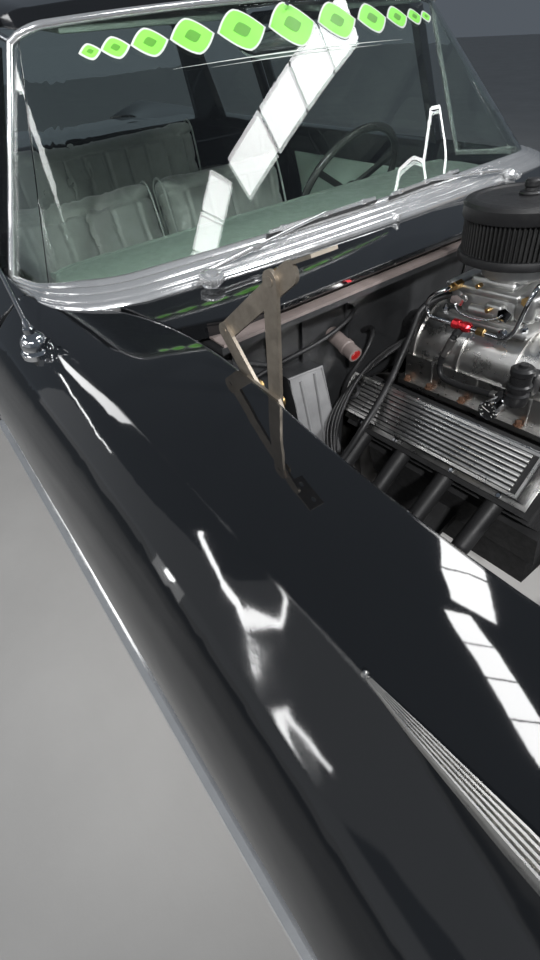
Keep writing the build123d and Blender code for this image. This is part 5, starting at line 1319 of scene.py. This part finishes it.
class HOTROD_OT_stage(bpy.types.Operator):
    """Floor, lamps, world and the camera at the photograph's angle"""
    bl_idname = "hotrod.stage"
    bl_label = "Stage"

    def execute(self, context):
        context.scene.view_settings.view_transform = "Standard"
        self.camera(context.scene)
        self.floor_and_world(context.scene)
        self.tubes(context.scene)
        self.spots(context.scene)
        return {"FINISHED"}

    def camera(self, scene):
        place = Vector((1.6435, -0.9484, 1.3437))
        right = Vector((0.60332603, 0.79465065, -0.06729084))
        down = Vector((0.52716715, -0.46070755, -0.71403315))
        ahead = Vector((-0.5984083, 0.39532127, -0.69687058))
        view = bpy.data.cameras.new("photo_camera")
        view.sensor_width = 36.0
        view.lens = 17.58
        view.clip_start = 0.02
        camera = bpy.data.objects.new("photo_camera", view)
        camera.matrix_world = Matrix.Translation(place) @ Matrix((right, -down, -ahead)).transposed().to_4x4()
        scene.collection.objects.link(camera)
        scene.camera = camera

    def floor_and_world(self, scene):
        fresh()
        bpy.ops.mesh.primitive_plane_add(size=60)
        floor = bpy.context.object
        floor.name = "floor"
        floor.data.materials.append(make_finish("floor_paint", (0.5, 0.49, 0.475), (0.5, 0.7), spread=0.07,
                                                patch=1.6, grain=0.0004, grain_size=0.02))
        world = bpy.data.worlds.new("studio")
        scene.world = world
        world.use_nodes = True
        back = world.node_tree.nodes["Background"]
        back.inputs["Color"].default_value = (0.088, 0.102, 0.120, 1.0)
        back.inputs["Strength"].default_value = 1.0

    def tubes(self, scene):
        """Lamp tubes and panels: two ends, width, radiance, and the point they face if not straight down"""
        fender = Vector((1.15, -0.93, 0.93))
        tubes = [
            ((-4.3, -2.95, 3.0), (-0.2, -2.35, 3.0), 0.26, 5.0, None),
            ((-5.1, -3.7, 3.0), (-4.3, -5.0, 3.0), 0.14, 12.0, None),
        ]
        crease = ((-2.11, -5.26, 3.51), (-1.61, -5.70, 3.30), (-1.04, -6.08, 3.10), (-0.59, -6.29, 2.99),
                  (-0.21, -6.39, 3.01), (0.28, -6.45, 3.12), (0.76, -6.49, 3.16), (1.34, -6.47, 3.24))
        tubes += [(start, end, 0.08, 12.0, fender) for start, end in zip(crease, crease[1:])]
        tubes += [
            ((-1.2, -6.9, 5.2), (2.2, -6.9, 5.2), 1.2, 3.5, fender),
            ((-9.0, -6.5, 2.2), (7.0, -8.5, 2.2), 3.6, 0.17, fender),
            ((-1.52, -5.01, 0.95), (-1.36, -5.11, 0.95), 0.18, 14.0, fender),
            ((-1.70, -4.92, 0.95), (-1.18, -5.20, 0.95), 0.60, 0.7, fender),
        ]
        for (x0, y0), (x1, y1), width in (((0.46, 1.98), (1.26, 0.75), 0.27), ((1.21, 0.62), (1.95, 0.13), 0.19)):
            for number in range(4):
                first, last = number / 4 + 0.006, (number + 1) / 4 - 0.006
                tubes.append(((x0 + (x1 - x0) * first, y0 + (y1 - y0) * first, 3.0),
                              (x0 + (x1 - x0) * last, y0 + (y1 - y0) * last, 3.0), width, 12.0, None))
        honeycomb = ((1.67, 2.46), (1.43, 2.54), (1.34, 2.76), (1.37, 2.92), (0.94, 3.05), (0.905, 3.21),
                     (1.3, 3.32), (1.56, 3.29))
        for start, end in tuple(zip(honeycomb, honeycomb[1:])) + (((1.37, 2.92), (1.59, 3.0)),):
            tubes.append((start + (3.0,), end + (3.0,), 0.032, 14.0, None))
        for number, (start, end, width, radiance, aim) in enumerate(tubes):
            start, end = Vector(start), Vector(end)
            middle = (start + end) / 2
            length = (end - start).normalized()
            up = Vector((0, 0, 1)) if aim is None else (middle - aim).normalized()
            across = up.cross(length).normalized()
            lamp = bpy.data.lights.new("tube", "AREA")
            lamp.shape = "RECTANGLE"
            lamp.size = (end - start).length
            lamp.size_y = width
            lamp.energy = radiance * lamp.size * width * math.pi
            piece = bpy.data.objects.new("lamp_tube_%d" % number, lamp)
            turn = Matrix((length, across, length.cross(across))).transposed().to_4x4()
            piece.matrix_world = Matrix.Translation(middle) @ turn
            piece.visible_camera = False
            scene.collection.objects.link(piece)

    def spots(self, scene):
        """Lamps on one place each: their place, the place they light, watts, radius and spread"""
        for name, place, aim, power, radius, angle in (
                ("bay", (3.3, 1.1, 2.9), (1.25, -0.05, 0.72), 330.0, 0.12, 34),
                ("cowl", (2.9, -1.9, 2.7), (0.95, -0.25, 0.85), 260.0, 0.08, 62),
                ("ground", (4.2, -4.4, 4.4), (0.35, -1.6, 0.0), 560.0, 0.20, 28),
                ("banner", (2.2, -3.2, 3.0), (0.47, 0.0, 1.34), 400.0, 0.10, 24)):
            lamp = bpy.data.lights.new(name + "_spot", "SPOT")
            lamp.energy = power
            lamp.shadow_soft_size = radius
            lamp.spot_size = math.radians(angle)
            lamp.spot_blend = 0.8
            piece = bpy.data.objects.new(name + "_spot", lamp)
            piece.location = place
            piece.rotation_euler = (Vector(place) - Vector(aim)).to_track_quat("Z", "Y").to_euler()
            scene.collection.objects.link(piece)


class HOTROD_OT_finishes(bpy.types.Operator):
    """Gives every solid of the car its finish"""
    bl_idname = "hotrod.finishes"
    bl_label = "Finishes"

    def execute(self, context):
        make_all_finishes()
        finish_of = {solid: finish for finish, solids in solids_of.items() for solid in solids.split()}
        for name, node in nodes.items():
            node.data.materials.clear()
            node.data.materials.append(finishes[finish_of[name]])
        return {"FINISHED"}


class HOTROD_PT_panel(bpy.types.Panel):
    """Lists the operators and colours in the sidebar"""
    bl_idname = "HOTROD_PT_panel"
    bl_label = "Hot rod sedan"
    bl_space_type = "VIEW_3D"
    bl_region_type = "UI"
    bl_category = "Hot rod"

    def draw(self, context):
        for operator in operators:
            self.layout.operator(operator.bl_idname)
        for name in HotRodColours.__annotations__:
            self.layout.prop(context.scene.hot_rod_colours, name)
        for name in HotRodSizes.__annotations__:
            self.layout.prop(context.scene.hot_rod_sizes, name)


operators = (
    HOTROD_OT_finishes,
    HOTROD_OT_stage,
    HOTROD_OT_shield_trim,
    HOTROD_OT_body_trim,
    HOTROD_OT_wipers,
    HOTROD_OT_antenna,
    HOTROD_OT_tyres,
    HOTROD_OT_wheels,
    HOTROD_OT_seats,
    HOTROD_OT_valve_covers,
    HOTROD_OT_air_cleaner,
    HOTROD_OT_carburettor,
    HOTROD_OT_supercharger,
    HOTROD_OT_hoses,
    HOTROD_OT_hood_hinges,
    HOTROD_OT_banner,
    HOTROD_OT_cabin,
    HOTROD_OT_firewall,
    HOTROD_OT_ends,
)
classes = (HotRodColours, HotRodSizes) + operators + (HOTROD_PT_panel,)


def register():
    for made in classes:
        bpy.utils.register_class(made)
    bpy.types.Scene.hot_rod_colours = bpy.props.PointerProperty(type=HotRodColours)
    bpy.types.Scene.hot_rod_sizes = bpy.props.PointerProperty(type=HotRodSizes)


def unregister():
    del bpy.types.Scene.hot_rod_sizes
    del bpy.types.Scene.hot_rod_colours
    for made in reversed(classes):
        bpy.utils.unregister_class(made)


def main():
    register()
    bpy.ops.hotrod.finishes()
    bpy.ops.hotrod.stage()
    bpy.ops.hotrod.shield_trim()
    bpy.ops.hotrod.body_trim()
    bpy.ops.hotrod.wipers()
    bpy.ops.hotrod.antenna()
    bpy.ops.hotrod.tyres()
    bpy.ops.hotrod.wheels()
    bpy.ops.hotrod.seats()
    bpy.ops.hotrod.valve_covers()
    bpy.ops.hotrod.air_cleaner()
    bpy.ops.hotrod.carburettor()
    bpy.ops.hotrod.supercharger()
    bpy.ops.hotrod.hoses()
    bpy.ops.hotrod.hood_hinges()
    bpy.ops.hotrod.banner()
    bpy.ops.hotrod.cabin()
    bpy.ops.hotrod.firewall()
    bpy.ops.hotrod.ends()


if __name__ == "__main__":
    main()
